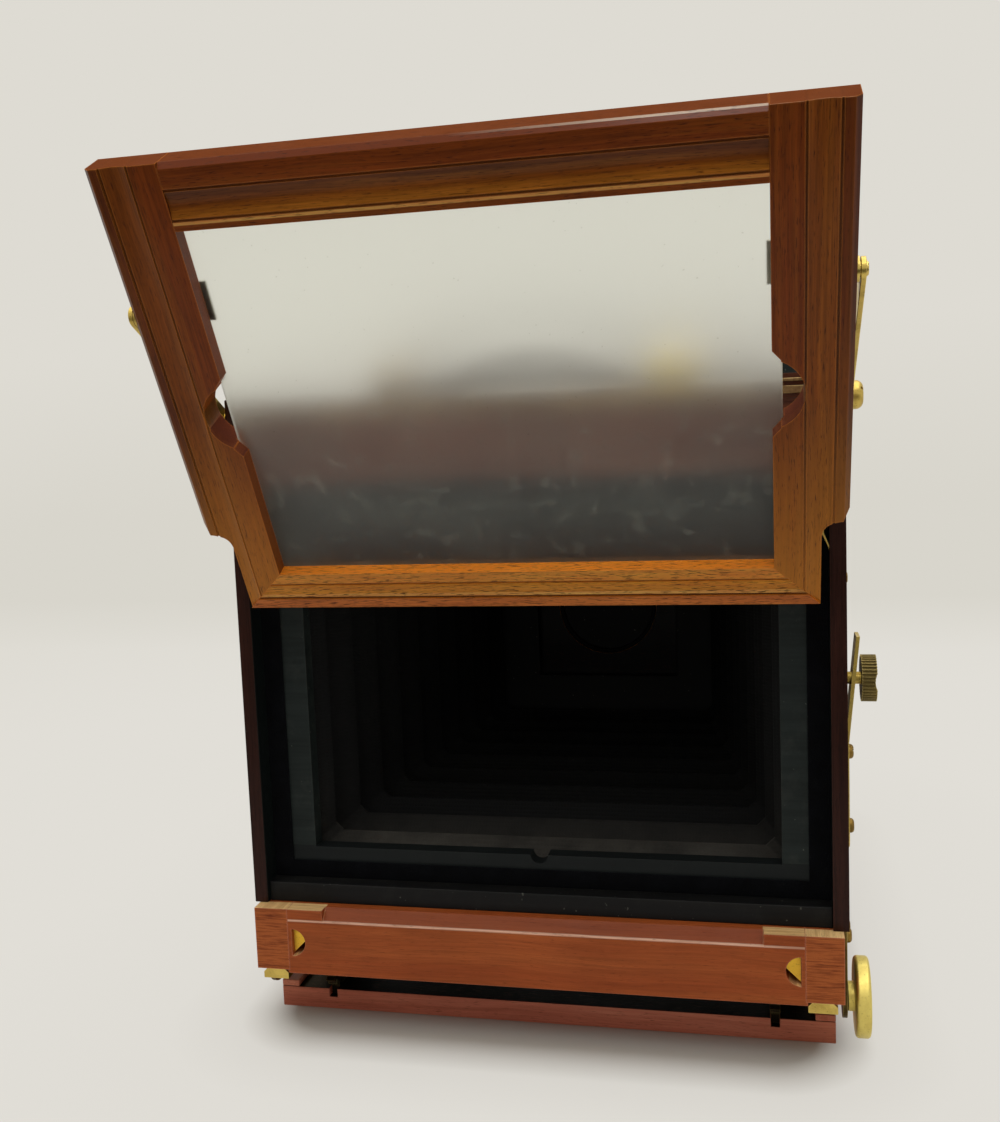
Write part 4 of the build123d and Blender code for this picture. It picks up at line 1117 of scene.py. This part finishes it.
def makeStitches(middle):
    look = handleLook
    tip = [(along * look["stitch"] / 2, wide * look["thread"]) for along, wide in look["taper"]]
    profile = [(-height, radius) for height, radius in tip] + tip[::-1]
    stitch = meshFrom("stitchMesh", *lathe(profile, look["threadSides"]))
    sewn = look["half"] - look["stitchEnd"]
    span = sewn / (look["half"] + look["tab"])
    count = int(2 * sewn / look["pitch"])
    near = 0.002  # share of the path on each side that gives a stitch its slope
    stitches = []
    for row in (-1, 1):
        for number in range(count):
            share = 0.5 + span * 0.5 * (2 * (number + 0.5) / count - 1)
            run = handlePath(share + near, 0) - handlePath(share - near, 0)
            spot = middle + handlePath(share, look["thick"] - look["stitchSink"])
            spot.y += row * (look["width"] / 2 - look["stitchIn"])
            stitches.append((stitch, pointing(spot, run)))
    waxed = leatherMaterial("waxedThread", waxedThread)
    sewing = newPiece("handleStitches", gather("stitchesMesh", stitches), waxed, look["stitchSharp"])
    settle(sewing, "back", "handle_leather")


handleLow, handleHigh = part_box("handle")
handleMiddle = Vector((0, (handleLow.y + handleHigh.y) / 2, handleLow.z))
makeHandle(handleMiddle)
makeStitches(handleMiddle)
print("handle made")

# Floor, backdrop, camera and light
studio = {
    "floor": paint(232, 230, 224), "near": paint(186, 180, 170), "sky": paint(222, 219, 211),
    "bright": paint(225, 222, 215), "band": paint(216, 213, 204), "cloth": paint(40, 38, 36),
    "mottle": dict(scale=3.0, detail=3, rough=0.5), "dim": 0.97, "rough": 0.8, "shine": 0.1,
    # the glow starts this far outside the foot of the object
    "foot": (76 * mm, 107.5 * mm), "glowTo": 0.15, "fadeTo": 1.0,
    "glow": ((0.0, 0.0), (0.10, 0.0), (0.17, 0.5), (0.23, 0.85), (0.4, 0.96), (1.0, 1.0)),
    "front": -3.5, "curveFrom": 1.1, "curveRadius": 0.9, "curveSteps": 16, "wallTop": 2.6, "halfWidth": 4.0,
    "sharp": 60,
    "bendDeep": (0.6, 0.95), "bendLow": ((0.08, 1.0), (0.4, 0.0)), "bendWide": ((0.3, 1.0), (0.6, 0.0)),
    "clothFrom": -0.42, "clothTo": -1.8, "clothHalf": 1.3, "clothLift": 2 * mm,
    "ambient": 0.42, "frontAmbient": 0.10, "ambientWay": (0.0, 0.6, 0.8), "daylight": (1.0, 0.99, 0.97, 1),
}


def seenRays():
    ray = add("LightPath").outputs
    seen = plus(ray["Is Camera Ray"], ray["Is Glossy Ray"], clamp=True)
    return plus(seen, ray["Is Transmission Ray"], clamp=True)


def sweepMaterial():
    look = studio
    newMaterial("paleSweep")
    spot = spotOf()
    part = split(spot)
    dimmer = (*[value * look["dim"] for value in look["floor"][:3]], 1)
    tone = ramp(grainy(spot, **look["mottle"]), (0.3, dimmer), (0.7, look["floor"]))
    # painted shade: seen straight on, the paper is darker close to the object
    tone = mix(seenRays(), tone, look["near"])
    inputs = {"Base Color": tone, "Roughness": look["rough"], "Specular IOR Level": look["shine"]}
    paper = add("BsdfPrincipled", inputs)
    # away from the object the sweep shows one even tone, with painted shade a little darker where it bends
    sides = [minus(absolute(one), half) for one, half in zip(part, look["foot"])]
    sides = [calc("MAXIMUM", one, 0.0) for one in sides]
    away = calc("SQRT", plus(*[times(one, one) for one in sides]))
    away = ramp(calc("DIVIDE", away, look["glowTo"]), *look["glow"])
    far = add("VectorMath", {0: spot}, operation="LENGTH").outputs["Value"]
    shown = ramp(calc("DIVIDE", far, look["fadeTo"]), (0.5, look["bright"]), (1.0, look["sky"]))
    out = calc("DIVIDE", absolute(part[0]), look["halfWidth"])
    bend = times(ramp(part[2], *look["bendLow"]), ramp(out, *look["bendWide"]))
    bend = times(bend, rise(part[1], *look["bendDeep"]))
    shown = mix(bend, shown, look["band"])
    glow = add("Emission", {"Color": shown, "Strength": 1.0})
    share = times(away, seenRays())
    return finishShader(add("MixShader", {0: share, 1: paper, 2: glow}))


def makeFloor():
    look = studio
    start, radius = look["curveFrom"], look["curveRadius"]
    profile = [(look["front"], 0.0), (start, 0.0)]
    for step in range(1, look["curveSteps"] + 1):
        turn = pi / 2 * step / look["curveSteps"]
        profile.append((start + radius * sin(turn), radius * (1 - cos(turn))))
    profile.append((start + radius, look["wallTop"]))
    points = [Vector((x, y, z)) for y, z in profile for x in (-look["halfWidth"], look["halfWidth"])]
    faces = [[2 * n, 2 * n + 1, 2 * n + 3, 2 * n + 2] for n in range(len(profile) - 1)]
    newPiece("sweep", meshFrom("sweepMesh", points, faces), sweepMaterial(), look["sharp"])


def makeCloth():
    # a dark cloth before the object takes up the light that the floor would throw on its face
    half, start, end, lift = [studio[key] for key in ("clothHalf", "clothFrom", "clothTo", "clothLift")]
    points = [(-half, end, lift), (half, end, lift), (half, start, lift), (-half, start, lift)]
    mesh = meshFrom("clothMesh", points, [[0, 1, 2, 3]])
    newMaterial("darkCloth")
    cloth = newPiece("darkCloth", mesh, finishShader(add("BsdfDiffuse", {"Color": studio["cloth"]})))
    cloth.visible_camera = False
    cloth.visible_shadow = False


def makeWorld():
    startNodes(bpy.data.worlds.new("paleRoom"))
    # light comes from above and behind the object; the side of the operator is dim
    high = lengthAlong(add("TexCoord").outputs["Generated"], studio["ambientWay"])
    level = plus(times(high, 0.5), 0.5)
    level = ramp(level, (0.35, studio["frontAmbient"]), (0.85, studio["ambient"]))
    light = add("Background", {"Color": studio["daylight"], "Strength": level})
    shown = add("Background", {"Color": studio["sky"], "Strength": 1.0})
    both = add("MixShader", {0: seenRays(), 1: light, 2: shown})
    bpy.context.scene.world = finishShader(both, "OutputWorld")


lamps = {
    "overhead": {"at": (0.0, -0.05, 1.6), "aim": (0, -0.02, 0.0), "size": 2.4, "power": 25.0},
    "operatorSide": {"at": (0.03, -1.1, 1.21), "aim": (0, -0.1, 0.1), "size": 0.25, "power": 1.4},
}


def makeLamps():
    for name, look in lamps.items():
        lamp = bpy.data.lights.new(name, "AREA")
        lamp.shape = "SQUARE"
        lamp.size = look["size"]
        lamp.energy = look["power"]
        holder = newObject(name, lamp)
        holder.location = look["at"]
        aim = Vector(look["aim"]) - Vector(look["at"])
        holder.rotation_euler = aim.to_track_quat("-Z", "Y").to_euler()


# Fitted to the photograph's corners, for a frame of 1000 by 1122
shot = {
    "at": (0.0775, -0.4953, 0.2045), "right": (0.9757, 0.2156, -0.0391), "down": (-0.0152, -0.1115, -0.9936),
    "focal": 1190.0, "frameHeight": 1122.0, "sensor": 36.0, "clip": 0.01,
}


def makeCamera():
    camera = bpy.data.cameras.new("photoCamera")
    camera.sensor_fit = "VERTICAL"
    camera.sensor_height = shot["sensor"]
    camera.lens = shot["sensor"] * shot["focal"] / shot["frameHeight"]
    camera.clip_start = shot["clip"]
    holder = newObject("photoCamera", camera)
    right = Vector(shot["right"]).normalized()
    up = -Vector(shot["down"])
    up = (up - right * up.dot(right)).normalized()
    turn = Matrix((right, up, right.cross(up))).transposed().to_4x4()
    holder.matrix_world = Matrix.Translation(shot["at"]) @ turn
    bpy.context.scene.camera = holder


makeFloor()
makeCloth()
makeWorld()
makeLamps()
makeCamera()
bpy.context.scene.view_settings.view_transform = "Standard"
print("studio made")
